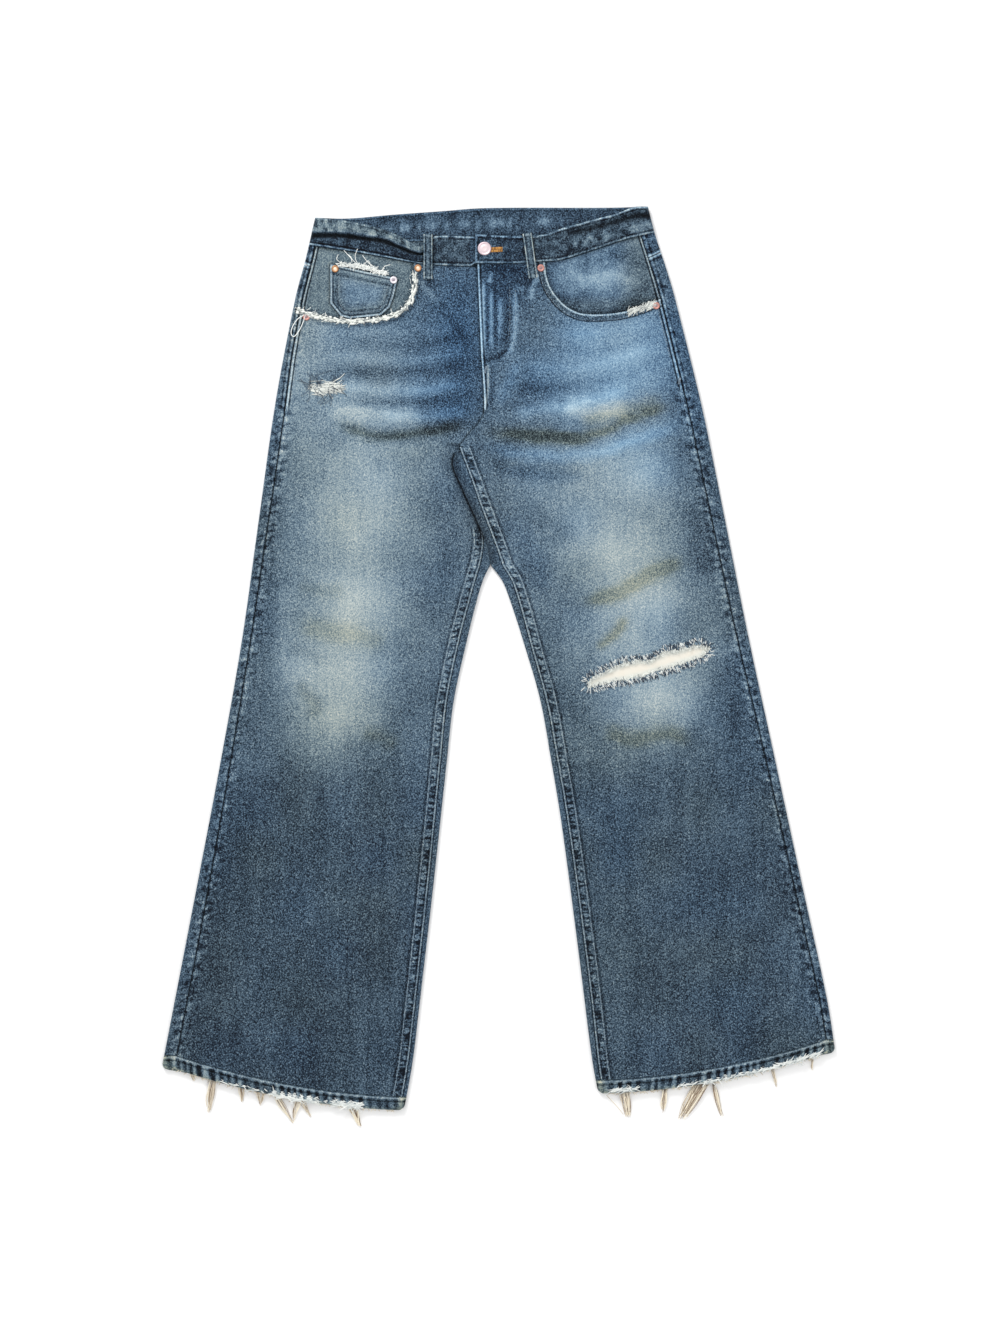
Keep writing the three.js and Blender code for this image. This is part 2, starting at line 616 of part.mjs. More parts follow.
// ---- metal ----
function turned(profile, segments = 16) {
  const g = new THREE.LatheGeometry(profile.map(([r, z]) => new THREE.Vector2(r, z)), segments);
  g.rotateX(Math.PI / 2);
  return g;
}

const rivetProfile = [[0, 0], [4.6, 0], [4.6, 0.5], [4, 1.1], [2.4, 0.8], [1.4, 1.6], [0, 1.7]];
const buttonProfile = () => {
  const { radius: r, shank } = button;
  const head = band.overlap + gap; // from the button end of the band up to the head
  return [[0, 0], [shank, 0], [shank, head], [r - 0.7, head], [r, head + 0.7], [r, head + 1.5], [r - 1, head + 2.2],
    [r - 3, head + 2.6], [0, head + 2.6]];
};

// ---- assembly ----
const jeans = new THREE.Group();
jeans.name = "ripped_jeans";
function add(name, geometry, material, place = [0, 0, 0], turn = 0) {
  const mesh = new THREE.Mesh(geometry, material);
  mesh.name = name;
  mesh.position.set(...place);
  mesh.rotation.z = turn;
  jeans.add(mesh);
}
const cut = (geometry, ...tools) =>
  geometryOf(tools.reduce((body, tool) => body.subtract(tool), solid(geometry)));

const { right, left } = legs;
add("front_right", cut(frontPanel(right), mouthCut(pocketMouth.right, -106)), denim);
add("front_left", cut(frontPanel(left), mouthCut(pocketMouth.left, 58), prism(ripOutline(0))), denim);
add("back_right", backPanel(right), darkDenim);
// The fold of the left thigh starts at the crotch point, and the cloth under it at the rise corner.
const foldStarts = [
  prism([[-66, fourWay - 2.2], [-34, fourWay - 2.2], [-34, fourWay + 4], [-66, fourWay + 4]]),
  prism([[-66, 317.1], [centreBack(320) + gap, 317.1], [centreBack(320) + gap, 321.9], [-66, 321.9]]),
];
add("back_left", cut(backPanel(left), ...foldStarts), darkDenim);
add("yoke_right", yoke(right), denim);
add("yoke_left", yoke(left), denim);
add("waistband", cut(waistband(), keyhole()), denim);
add("pocket_facing_right", facing(right, pocketMouth.right, 8), fadedDenim);
add("pocket_facing_left", facing(left, pocketMouth.left, 8), fadedDenim);
add("coin_pocket", overlay(right, coinPocket, -cloth, cloth, 6), fadedDenim);
add("fly_facing", flyFacing(), denim);
add("knee_backing", overlay(left, ripOutline(9), -layer - cloth, cloth, 8), creamCotton);
add("back_pocket_right", backPocket(right), darkDenim);
add("back_pocket_left", backPocket(left), darkDenim);
add("hem_right", hem(right), darkDenim);
add("hem_left", hem(left), darkDenim);
add("hem_fringe_right", fringe(right, tuftsRight), frayedCotton);
add("hem_fringe_left", fringe(left, tuftsLeft), frayedCotton);

const loopTurn = THREE.MathUtils.degToRad(8);
add("belt_loop_front_right", frontLoop(), darkDenim, [-88, 511, band.high]);
add("belt_loop_front_left", frontLoop(), darkDenim, [39.5, 512, band.high], loopTurn);
for (const [name, x] of [["back_right", -150], ["back_centre", -16], ["back_left", 118]]) {
  add(`belt_loop_${name}`, backLoop(), darkDenim, [x, band.backTop(x) - 30.5, 0]);
}

add("button", turned(buttonProfile(), 24), paleCopper, [button.x, button.y, band.high + gap]);
const rivets = {
  coin_outer: [right, -204, 496],
  coin_inner: [right, -131, 482],
  right_pocket_inner: [right, -100.5, 497],
  right_pocket_outer: [right, -240, 436],
  left_pocket_inner: [left, 53, 497],
  left_pocket_outer: [left, 197, 450],
};
for (const [name, [leg, x, y]] of Object.entries(rivets)) {
  const rests = Math.max(...[[-5, 0], [5, 0], [0, -5], [0, 5]].map(([dx, dy]) => topFace(leg, x + dx, y + dy)));
  add(`rivet_${name}`, turned(rivetProfile), copper, [x, y, rests + gap]);
}

// The group's origin is under the middle of the garment, on the floor.
const box = new THREE.Box3().setFromObject(jeans);
const middle = box.getCenter(new THREE.Vector3());
jeans.position.set(-middle.x, -middle.y, -box.min.z);

export default jeans;
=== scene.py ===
import math
import bpy
import numpy as np
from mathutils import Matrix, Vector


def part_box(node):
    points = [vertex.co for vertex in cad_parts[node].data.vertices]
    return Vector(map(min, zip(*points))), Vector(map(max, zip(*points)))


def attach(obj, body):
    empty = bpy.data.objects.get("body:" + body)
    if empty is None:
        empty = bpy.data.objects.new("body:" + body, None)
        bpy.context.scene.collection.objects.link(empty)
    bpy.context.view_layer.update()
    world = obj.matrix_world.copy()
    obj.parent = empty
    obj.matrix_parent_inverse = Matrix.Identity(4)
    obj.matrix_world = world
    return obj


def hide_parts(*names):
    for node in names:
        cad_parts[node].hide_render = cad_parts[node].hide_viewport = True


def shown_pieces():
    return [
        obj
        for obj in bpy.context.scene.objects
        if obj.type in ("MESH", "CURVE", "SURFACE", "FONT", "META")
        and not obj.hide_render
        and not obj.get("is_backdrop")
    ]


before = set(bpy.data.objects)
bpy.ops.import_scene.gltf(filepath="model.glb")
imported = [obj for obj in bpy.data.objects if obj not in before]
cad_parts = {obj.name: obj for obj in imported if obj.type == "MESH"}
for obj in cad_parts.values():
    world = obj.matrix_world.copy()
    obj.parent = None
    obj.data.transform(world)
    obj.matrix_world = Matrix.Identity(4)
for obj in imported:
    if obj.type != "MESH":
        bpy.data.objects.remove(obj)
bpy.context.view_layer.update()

buttonLow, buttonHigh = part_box("button")

# How the garment lies, in millimetres: -X is the wearer's right leg, +Y the waist.
lie = {
    "wall": 1.1, "layer": 1.6, "seamGap": 0.15,
    "hipTop": 6.6, "hipCrown": 1.8, "legTop": 5.2, "legCrown": 1.6,
    "seatFloor": 1.6, "seatEnd": (205, 252), "hipToLeg": (170, 255),
    "flapLift": 3.5, "hemBow": -10.5, "hemDepth": 17,
    "fourWay": 275, "riseCorner": 320, "crotch": 126, "waistSeam": 0.8,
    "rowStep": 2.9, "buttonAt": (-17.5, 521),
}
shiftX = (buttonLow.x + buttonHigh.x) * 500 - lie["buttonAt"][0]  # from these sizes to the frame
shiftY = (buttonLow.y + buttonHigh.y) * 500 - lie["buttonAt"][1]


def mix(a, b, t):
    return a + (b - a) * t


# Smooth step: 3t squared minus 2t cubed, with t from 0 at start to 1 at end.
def ease(start, end, v):
    t = np.clip((np.asarray(v, float) - start) / (end - start), 0, 1)
    return t * t * (3 - 2 * t)


# A bell: exp of minus the square of the distance over the width.
def bell(distance, width):
    return np.exp(-(distance / width) ** 2)


# A smooth curve through (place, value) knots: cubic Hermite pieces whose slope at a knot is that
# between its neighbours, and straight beyond the ends.
def through(*knots):
    k = np.array(sorted(knots), float)
    at, value = k[:, 0], k[:, 1]
    before = np.maximum(np.arange(len(at)) - 1, 0)
    after = np.minimum(np.arange(len(at)) + 1, len(at) - 1)
    slope = (value[after] - value[before]) / (at[after] - at[before])

    def f(v):
        v = np.asarray(v, float)
        j = np.clip(np.searchsorted(at, v, side="right") - 1, 0, len(at) - 2)
        h = at[j + 1] - at[j]
        t = (v - at[j]) / h
        c = np.clip(t, 0, 1)
        between = ((2 * c**3 - 3 * c**2 + 1) * value[j] + (c**3 - 2 * c**2 + c) * h * slope[j]
                   + (3 * c**2 - 2 * c**3) * value[j + 1] + (c**3 - c**2) * h * slope[j + 1])
        return between + np.minimum(t, 0) * h * slope[j] + np.maximum(t - 1, 0) * h * slope[j + 1]
    return f


# Random heights from -1 to 1 on a lattice of cells wide by high, joined by smooth steps.
def softNoise(x, y, wide, high, seed):
    lattice = np.random.default_rng(seed).uniform(-1, 1, (97, 89))
    u, v = np.asarray(x, float) / wide + 31, np.asarray(y, float) / high + 37
    i, j = np.floor(u).astype(int), np.floor(v).astype(int)
    a, b = ease(0, 1, u - i), ease(0, 1, v - j)
    g = lambda p, q: lattice[(i + p) % 97, (j + q) % 89]
    return mix(mix(g(0, 0), g(1, 0), a), mix(g(0, 1), g(1, 1), a), b)


# How far along a line each of its points is.
def alongLine(line):
    return np.concatenate([[0], np.cumsum(np.hypot(*np.diff(line, axis=0).T))])


# Where a line is at some distances along it, given how far along its points are.
def onLine(at, s, line):
    return np.interp(at, s, line[:, 0]), np.interp(at, s, line[:, 1])


def closed(outline):
    return np.concatenate([outline, outline[:1]])


# Vectors made one long.
def unit(v):
    return v / np.maximum(np.linalg.norm(v, axis=-1, keepdims=True), 1e-9)


# Points turned about the origin, then moved to a centre.
def placed(centre, turn, x, y):
    return (centre[0] + x * math.cos(turn) - y * math.sin(turn), centre[1]
            + x * math.sin(turn) + y * math.cos(turn))


# Nearest place on a line of points: its distance, how far along it is from 0 to 1, and where it is.
def nearLine(x, y, line):
    line = np.asarray(line, float)
    ends = alongLine(line)
    best = np.full(np.shape(x), 1e9)
    along, nx, ny = np.zeros_like(best), np.zeros_like(best), np.zeros_like(best)
    for k in range(len(line) - 1):
        (ax, ay), (bx, by) = line[k], line[k + 1]
        length2 = (bx - ax) ** 2 + (by - ay) ** 2
        t = np.clip(((x - ax) * (bx - ax) + (y - ay) * (by - ay)) / length2, 0, 1)
        px, py = ax + t * (bx - ax), ay + t * (by - ay)
        d = np.hypot(x - px, y - py)
        closer = d < best
        best = np.where(closer, d, best)
        along = np.where(closer, mix(ends[k], ends[k + 1], t) / ends[-1], along)
        nx, ny = np.where(closer, px, nx), np.where(closer, py, ny)
    return best, along, nx, ny


# Whether points are inside a closed outline, by counting the edges to their right.
def inside(x, y, outline):
    o = np.asarray(outline, float)
    odd = np.zeros(np.shape(x), bool)
    for (ax, ay), (bx, by) in zip(o, np.roll(o, -1, axis=0)):
        if ay != by:
            crosses = (ay > y) != (by > y)
            odd ^= crosses & (x < ax + (y - ay) * (bx - ax) / (by - ay))
    return odd


# A line of points made smooth, with n points evenly spaced along the curve's parameter.
def smoothLine(points, n):
    p = np.asarray(points, float)
    s = alongLine(p)
    q = np.linspace(0, s[-1], n)
    fx, fy = through(*zip(s, p[:, 0])), through(*zip(s, p[:, 1]))
    return np.stack([fx(q), fy(q)], 1)


# The cut of the legs: seam and fold lines as x by height.
rise = through((500, -26.4), (400, -22.3), (320, -18), (306, -23.6), (291, -37), (275, -49.4))
thighFold = through((275, -50), (253, -57), (225, -46.5), (195, -33), (155, -16), (132, -10.6), (126, -10))
centreBack = through((534, -18), (126, -10))
backWaist = through((-235, 526), (-18, 534), (195, 541))
rightLeg = {
    "name": "right", "side": -1, "waistY": (526, 499), "hemY": (-503, -555),
    "fold": through((560, -229), (508, -241), (458, -254), (333, -278), (183, -299.5), (33, -320.5),
                    (-118, -347), (-268, -375.5), (-418, -404.5), (-503, -421)),
    "outInset": through((526, 8), (400, 10), (300, 13.5), (33, 11), (-290, 15), (-503, 16)),
    "innerFold": through((126, -10.6), (107, -19.4), (82, -27), (32, -39.4), (-42, -55.6), (-118, -64.4),
                         (-268, -80.6), (-418, -98), (-493, -107), (-555, -118)),
    "inInset": through((126, 12.6), (107, 9.6), (82, 8.8), (32, 9.5), (-42, 8.5), (-190, 7), (-417, 5.5),
                       (-555, 5)),
    "waistLine": through((-235, 526), (-193, 519.4), (-159, 513.8), (-108, 504.3), (-80, 501), (-27, 499)),
    "inSeam": through((275, -49.5), (222, -38), (190, -27), (170, -20), (152, -18.6), (138, -20.6),
                      (126, -23.2)),
}
leftLeg = {
    "name": "left", "side": 1, "waistY": (541, 503), "hemY": (-483, -534),
    "fold": through((573, 187), (541, 195), (508, 205.6), (458, 220.6), (333, 252), (258, 268), (183, 283),
                    (33, 313), (-117, 345.6), (-267, 378), (-417, 410.6), (-483, 421)),
    "outInset": through((541, 17), (350, 18), (108, 15.5), (-120, 11.5), (-483, 9)),
    "innerFold": through((126, -10), (107, 4.4), (82, 14.4), (32, 30.6), (-42, 52), (-117, 65.6), (-192, 78),
                         (-342, 98), (-492, 117), (-536, 125)),
    "inInset": through((126, 15), (107, 12), (70, 10), (8, 7.5), (-107, 7.5), (-417, 8.5), (-534, 6)),
    "waistLine": through((-27, 503), (20, 503), (52, 505), (77, 507), (121, 520.6), (155, 532), (192, 541)),
    "inSeam": through((275, -49.4), (235, -34.5), (193, -19.4), (147, -2), (126, 5)),
}


# A row is a line across a leg, named by the height of its inner end.
def rowOf(leg, innerY):
    side, (outTop, inTop), (outHem, inHem) = leg["side"], leg["waistY"], leg["hemY"]
    f = (inTop - innerY) / (inTop - inHem)
    outerY = mix(outTop, outHem, f)
    edge = leg["fold"](outerY)
    low = leg["innerFold"](innerY) + side * leg["inInset"](innerY)
    below = np.where(innerY < lie["crotch"], low, leg["inSeam"](innerY))
    inner = np.where(innerY > lie["fourWay"], rise(innerY), below)
    mid = centreBack(innerY) if side < 0 else thighFold(innerY)
    far = np.where(innerY > lie["crotch"], centreBack(innerY), leg["innerFold"](innerY))
    tuck = np.where(innerY > lie["crotch"], mid, leg["innerFold"](innerY))
    return {"leg": leg, "f": f, "y": innerY, "outerY": outerY, "edge": edge, "inner": inner, "far": far,
            "tuck": tuck, "seam": edge - side * leg["outInset"](outerY)}


# Height along the garment of a row at x. At the waist it bends with the waist seam, and at the hem
# it sags as 4u(1-u) of the bow; on the back it runs straight from fold to fold.
def rowY(row, x, onBack=0.0):
    leg = row["leg"]
    chord = lambda u: mix(leg["waistY"][0], leg["waistY"][1], u)
    u = np.clip((x - row["seam"]) / (row["inner"] - row["seam"]), 0, 1)
    front = (mix(row["outerY"], row["y"], u) + lie["hemBow"] * 4 * u * (1 - u) * ease(0.85, 1, row["f"])
             + (leg["waistLine"](x) - chord(u)) * (1 - ease(0, 0.1, row["f"])))
    v = np.clip((x - row["edge"]) / (row["far"] - row["edge"]), 0, 1)
    back = mix(row["outerY"], row["y"], v) + (backWaist(x) - chord(v)) * (1 - ease(0, 0.21, row["f"]))
    return mix(front, back, onBack)


def floorAt(y):
    return lie["seatFloor"] * ease(*lie["seatEnd"], y)


def hipShare(y):
    return ease(*lie["hipToLeg"], y)


def liftAt(y):
    return np.where(y > lie["riseCorner"] - 2, 0, lie["flapLift"] * ease(lie["crotch"], 150, y))


def foldTop(y):
    return mix(lie["legTop"], lie["hipTop"], hipShare(y))


# Height of the smooth top face: half a sine across the hips and across each leg, raised where the
# left thigh lies over the right one and lowered where the right one goes in under it.
def faceZ(row, x):
    y, side = row["y"], row["leg"]["side"]
    across = np.clip((x - rightLeg["fold"](y)) / (leftLeg["fold"](y) - rightLeg["fold"](y)), 0, 1)
    tuck = np.where(y > lie["crotch"], row["tuck"] if side > 0 else row["inner"], row["tuck"])
    legAcross = np.clip((x - row["edge"]) / (tuck - row["edge"]), 0, 1)
    hip = lie["hipTop"] + lie["hipCrown"] * np.sin(np.pi * across) ** 0.7
    thigh = lie["legTop"] + lie["legCrown"] * np.sin(np.pi * legAcross) ** 0.7
    z = mix(thigh, hip, hipShare(y))
    if side > 0:
        near = 1 - ease(0, 60, x - tuck)
        return z + np.where(y < lie["riseCorner"], liftAt(y) * (1 - hipShare(y)) * near, 0)
    under = ease(thighFold(y) - 20, thighFold(y) - 2, x) * ease(132, 150, y) * (y < lie["fourWay"])
    return mix(z, floorAt(y) + 2.9, under)


# Creases: pale worn whiskers, and darker grooves whose darkening is partly dye and partly painted
# shade. Each crease: points, reach across it, and what it adds to fade, warmth and height at its middle.
creases = [
    # right thigh whiskers
    ([(-205, 352), (-150, 344), (-95, 345), (-34, 353)], 8, 0.20, -0.25, 0.7),
    ([(-190, 331), (-140, 327), (-60, 333)], 5, -0.12, 0, -0.8),
    ([(-212, 322), (-160, 313), (-96, 311)], 13, 0.20, 0.1, 1.0),
    ([(-150, 313), (-96, 311), (-36, 317)], 8, 0.12, -0.3, 0.9),
    ([(-200, 302), (-170, 290), (-139, 287), (-97, 291), (-38, 303)], 7, -0.26, 0.9, -1.7),
    ([(-160, 270), (-110, 268), (-60, 280)], 9, 0.05, 0.1, 0.5),
    ([(-215, 372), (-150, 365), (-90, 368), (-30, 380)], 6, -0.10, 0, -0.8),
    ([(-205, 388), (-120, 380), (-40, 394)], 6, 0.11, -0.1, 0.6),
    ([(-190, 404), (-110, 399), (-40, 412)], 5, -0.08, 0, -0.5),
    ([(-190, 420), (-120, 416), (-50, 424)], 6, 0.05, 0, 0.4),
    ([(-99, 484), (-86, 466), (-74, 452)], 3.2, 0.26, 0.2, 0.5),
    ([(-90, 470), (-60, 436), (-34, 392)], 5, -0.10, 0, -0.8),
    # right leg below
    ([(-250, 52), (-210, 42), (-165, 36), (-140, 24)], 13, -0.04, 0.55, -0.3),
    ([(-252, 100), (-215, 92), (-190, 96)], 9, -0.07, 0.3, -0.5),
    ([(-262, 22), (-232, 12), (-222, -4)], 8, -0.07, 0.1, -0.8),
    ([(-252, -20), (-232, -46), (-226, -66)], 9, -0.13, 0.3, -0.8),
    ([(-170, -82), (-140, -92), (-128, -104)], 9, -0.05, 0.5, -0.5),
    ([(-75, 240), (-68, 150), (-92, 40)], 22, -0.05, -0.1, 0),
    ([(-312, 40), (-270, -20), (-240, -110)], 8, -0.05, 0, -0.9),
    ([(-330, -60), (-260, -130), (-200, -170)], 12, -0.03, 0, -0.8),
    ([(-100, -40), (-150, -90), (-200, -112)], 11, -0.05, 0, -0.7),
    # left thigh whiskers
    ([(12, 316), (60, 320), (100, 328), (165, 345)], 9, 0.20, -0.3, 0.8),
    ([(80, 320), (133, 317), (165, 324)], 12, 0.26, 0.2, 0.8),
    ([(-14, 293), (30, 288), (66, 286), (102, 283), (133, 293), (160, 306), (215, 326)],
     7.5, -0.12, 1.2, -1.7),
    ([(20, 290), (60, 286), (104, 282)], 6, -0.10, 0.9, -0.4),
    ([(100, 300), (150, 316), (208, 332)], 13, -0.05, 0.9, 0),
    ([(-23, 275), (33, 264), (111, 264), (178, 284), (234, 304)], 9, 0.12, -0.6, 0.9),
    ([(-15, 250), (40, 240), (110, 236)], 8, -0.12, -0.2, -0.9),
    ([(20, 348), (60, 346), (110, 352)], 7, -0.13, 0, -0.8),
    ([(110, 352), (160, 362), (210, 386)], 5, -0.06, 0, -0.5),
    ([(30, 376), (90, 370), (150, 382), (200, 400)], 6, 0.08, -0.1, 0.6),
    ([(60, 398), (130, 394), (200, 416)], 5, -0.07, 0, -0.5),
    ([(50, 418), (120, 414), (196, 430)], 6, 0.05, -0.1, 0.4),
    ([(54, 496), (47, 482), (42, 470), (40, 456)], 3.6, 0.42, 0, 0.4),
    ([(22, 476), (28, 470), (34, 474)], 2.4, 0.22, 0, 0.3),
    # left leg below
    ([(104, 78), (150, 92), (190, 116), (232, 132)], 9.5, -0.11, 1.2, 0.4),
    ([(122, 22), (146, 40), (160, 62)], 6.5, -0.10, 1.1, -0.4),
    ([(245, 215), (248, 160), (262, 110)], 16, -0.12, 0, 0),
    ([(20, 205), (60, 178), (90, 150)], 14, -0.10, 0, -0.9),
    ([(-5, 190), (40, 150), (60, 90)], 14, -0.06, -0.2, -0.4),
    ([(130, -78), (170, -92), (215, -84), (240, -98)], 10, -0.09, 0.9, -0.5),
    ([(90, -40), (110, -80), (150, -120)], 14, -0.04, 0, -0.8),
    ([(290, 10), (262, -50), (240, -110)], 12, -0.08, 0, -0.9),
    ([(330, -120), (280, -170), (200, -190)], 14, -0.02, 0, -0.8),
    # fly: worn ridges, the turned end below them
    ([(-19, 484), (-19, 440), (-18, 391)], 2.8, 0.42, -0.2, 0.7),
    ([(-9, 470), (-9, 430), (-9, 396)], 2.6, 0.36, -0.2, 0.6),
    ([(2, 462), (2, 430), (1, 408)], 2.8, 0.28, -0.2, 0.5),
    ([(-14, 486), (-14, 440), (-13, 392)], 2.2, -0.15, -0.2, -0.6),
    ([(-4, 482), (-4, 440), (-4, 396)], 2.2, -0.13, -0.2, -0.6),
    ([(11, 474), (12, 430), (9, 396)], 3.4, -0.15, -0.1, -0.5),
    ([(21, 470), (21, 424), (18, 400), (8, 386)], 2.4, 0.34, -0.3, 0.5),
    ([(-22, 382), (-6, 384), (6, 391), (12, 400)], 2.6, -0.26, 0, -1.0),
    ([(-9, 492), (-10, 484), (-12, 477)], 2.6, 0.4, 0, 0.5),
    ([(-24, 496), (10, 496), (34, 492)], 5, -0.14, -0.2, -0.5),
    ([(-8, 372), (-8, 340), (-12, 322)], 3.2, -0.12, -0.1, -0.5),
    ([(-13, 380), (-13, 350), (-16, 322)], 1.4, 0.40, 0.4, 0.4),
    ([(24, 380), (12, 352), (0, 326)], 8, 0.05, -0.3, 0.4),
]
# Each leg: its fade by height away from any spot, its warmth by height, and spots of wear and of
# painted shade as middle, half-width, half-height, and what the middle adds to fade and warmth.
wearAndShadeOf = {
    "right": {
        "fade": through((560, 0.33), (470, 0.31), (400, 0.29), (300, 0.32), (220, 0.33), (120, 0.33),
                        (0, 0.35), (-80, 0.33), (-120, 0.29), (-160, 0.255), (-200, 0.222), (-550, 0.192)),
        "warmth": through((560, -0.25), (330, -0.3), (250, 0.0), (0, 0.05), (-550, 0.0)),
        "spots": [(-240, 390, 120, 112, 0.27, 0.35), (-150, 268, 88, 40, 0.14, 0.1),
                  (-172, 188, 70, 66, 0.37, 0.0), (-262, 110, 26, 70, 0.05, 0.0),
                  (-178, 78, 64, 54, 0.38, 0.1), (-205, -14, 62, 52, 0.36, 0.25),
                  (-205, -76, 56, 36, 0.24, 0.35), (-52, 470, 40, 44, -0.05, -0.5),
                  (-292, 60, 16, 110, -0.10, 0.0), (-250, -20, 26, 50, 0.07, 0.0),
                  (-212, -118, 30, 20, 0.07, 0.1), (-172, 364, 42, 15, -0.10, 0.0),
                  # (-88, 478): painted shadow under the lower end of the right front belt loop
                  (-172, 321, 30, 8, 0.05, 0.0), (-88, 478, 10, 7, -0.22, 0.0),
                  (-212, 358, 22, 12, -0.14, 0.0), (-205, 398, 30, 16, -0.06, 0.0),
                  (-212, 278, 22, 14, -0.07, 0.0), (-300, -190, 56, 60, -0.05, 0.0),
                  (-148, -215, 26, 60, -0.07, 0.0), (-350, -340, 26, 140, -0.05, 0.0),
                  (-46, 372, 34, 60, -0.13, -0.7), (-62, 322, 40, 22, -0.10, -0.4),
                  (-265, 20, 30, 60, 0.03, 0.0), (-120, -30, 26, 60, -0.04, 0.0),
                  (-160, 130, 120, 22, -0.03, 0.2), (-220, 440, 40, 14, 0.10, 0.2)],
    },
    "left": {
        "fade": through((570, 0.33), (470, 0.32), (400, 0.31), (300, 0.33), (220, 0.35), (120, 0.35),
                        (0, 0.33), (-80, 0.29), (-120, 0.27), (-160, 0.248), (-210, 0.232), (-550, 0.225)),
        "warmth": through((570, -0.3), (330, -0.45), (250, -0.05), (0, 0.0), (-550, 0.0)),
        "spots": [(150, 388, 80, 74, 0.34, -0.2), (150, 226, 84, 62, 0.30, 0.05),
                  (120, 146, 52, 42, 0.22, 0.0), (168, 84, 56, 44, 0.34, 0.0), (165, 20, 60, 40, 0.30, 0.1),
                  (205, -40, 58, 36, 0.40, 0.0), (170, -86, 78, 36, 0.16, 0.2),
                  (18, 484, 44, 26, -0.20, -0.2), (-4, 430, 18, 46, -0.10, -0.3),
                  (225, 410, 30, 40, -0.06, 0.0), (190, 250, 40, 30, 0.08, -0.3),
                  (32, 180, 44, 60, 0.03, -0.2), (236, 345, 26, 34, -0.08, 0.1),
                  (140, 130, 60, 30, 0.10, 0.0), (255, 20, 40, 40, 0.06, 0.0), (294, -60, 20, 60, -0.13, 0.0),
                  (186, 150, 40, 40, 0.09, 0.0), (112, 122, 24, 26, -0.08, 0.0), (206, 84, 26, 24, 0.11, 0.0),
                  # (43, 479): painted shadow under the lower end of the left front belt loop
                  (233, 264, 22, 46, -0.10, 0.0), (43, 479, 10, 7, -0.2, 0.0),
                  (118, -140, 20, 40, -0.05, 0.0), (312, -478, 30, 24, -0.07, 0.0),
                  (165, 200, 40, 20, -0.05, 0.0), (40, 200, 24, 24, 0.05, 0.0),
                  (40, 320, 30, 10, -0.06, 0.0)],
    },
}


# The sum of the creases at points: each is its strength times exp of minus (distance over reach)
# squared, thinned towards its ends.
def creaseSum(x, y):
    fade, warm, height = np.zeros(np.shape(x)), np.zeros(np.shape(x)), np.zeros(np.shape(x))
    feather = softNoise(x, y, 16, 5, 15)  # makes their borders uneven
    for line, reach, addFade, addWarm, addHeight in creases:
        d, along, _, _ = nearLine(x, y, smoothLine(line, 9) if len(line) > 2 else line)
        d = d + 0.3 * reach * feather
        w = bell(d, reach) * np.clip(np.sin(np.pi * along) * 2.2 + 0.12, 0, 1)
        fade, warm, height = fade + w * addFade, warm + w * addWarm, height + w * addHeight
    return fade, warm, height


# Wear and painted shade of the top face: the leg's own by height, plus each spot times exp of minus
# the squares of the distances over its half-sizes, plus the creases and slow clouds.
def topWearAndShade(leg, x, y, sums=None):
    p = wearAndShadeOf[leg["name"]]
    fade, warm = p["fade"](y), p["warmth"](y)
    for cx, cy, wide, tall, addFade, addWarm in p["spots"]:
        w = np.exp(-((x - cx) / wide) ** 2 - ((y - cy) / tall) ** 2)
        fade, warm = fade + w * addFade, warm + w * addWarm
    addFade, addWarm, _ = sums if sums else creaseSum(x, y)
    cloud = (0.035 * softNoise(x, y, 46, 38, 3) + 0.030 * softNoise(x, y, 17, 21, 4)
             + 0.030 * softNoise(x, y, 9, 120, 6) * ease(40, -200, y))
    return fade + addFade + cloud, warm + addWarm + 0.25 * softNoise(x, y, 50, 60, 5)


# Wear of the back: a pale seat, creases behind the knees and a slow cloud elsewhere.
def backWear(x, y):
    seat = np.exp(-((np.abs(x) - 110) / 75) ** 2 - ((y - 380) / 90) ** 2)
    fade = 0.25 + 0.32 * seat + 0.04 * softNoise(x, y, 50, 60, 8)
    for sign in (-1, 1):
        for k in range(5):
            line = [(sign * 90, 25 - 26 * k), (sign * 180, 12 - 26 * k), (sign * 290, 34 - 26 * k)]
            fade = fade + 0.10 * bell(nearLine(x, y, line)[0], 7)
    return fade, 0.1 + 0.15 * softNoise(x, y, 70, 70, 9)


# Seam puckers: waves along the seam of a wandering pitch, strongest a few millimetres off it.
def pucker(dist, along, pitch, reach, seed):
    phase = 2 * np.pi * along / pitch + 2.6 * softNoise(along, 0, 31, 9, seed)
    strength = 0.6 + 0.6 * softNoise(along, 0, 23, 9, seed + 1)
    return np.sin(phase) * bell(dist - 0.4 * reach, reach) * strength


# Where the outseam is sewn twice, at the hip.
def doubledAt(side, y):
    return ease(340, 352, y) if side > 0 else ease(316, 328, y)


# Where the inseam shows its felled double thickness.
def felledAt(row, y):
    return (row["y"] < lie["fourWay"]) * (ease(180, 166, y) if row["leg"]["side"] < 0 else 1.0)


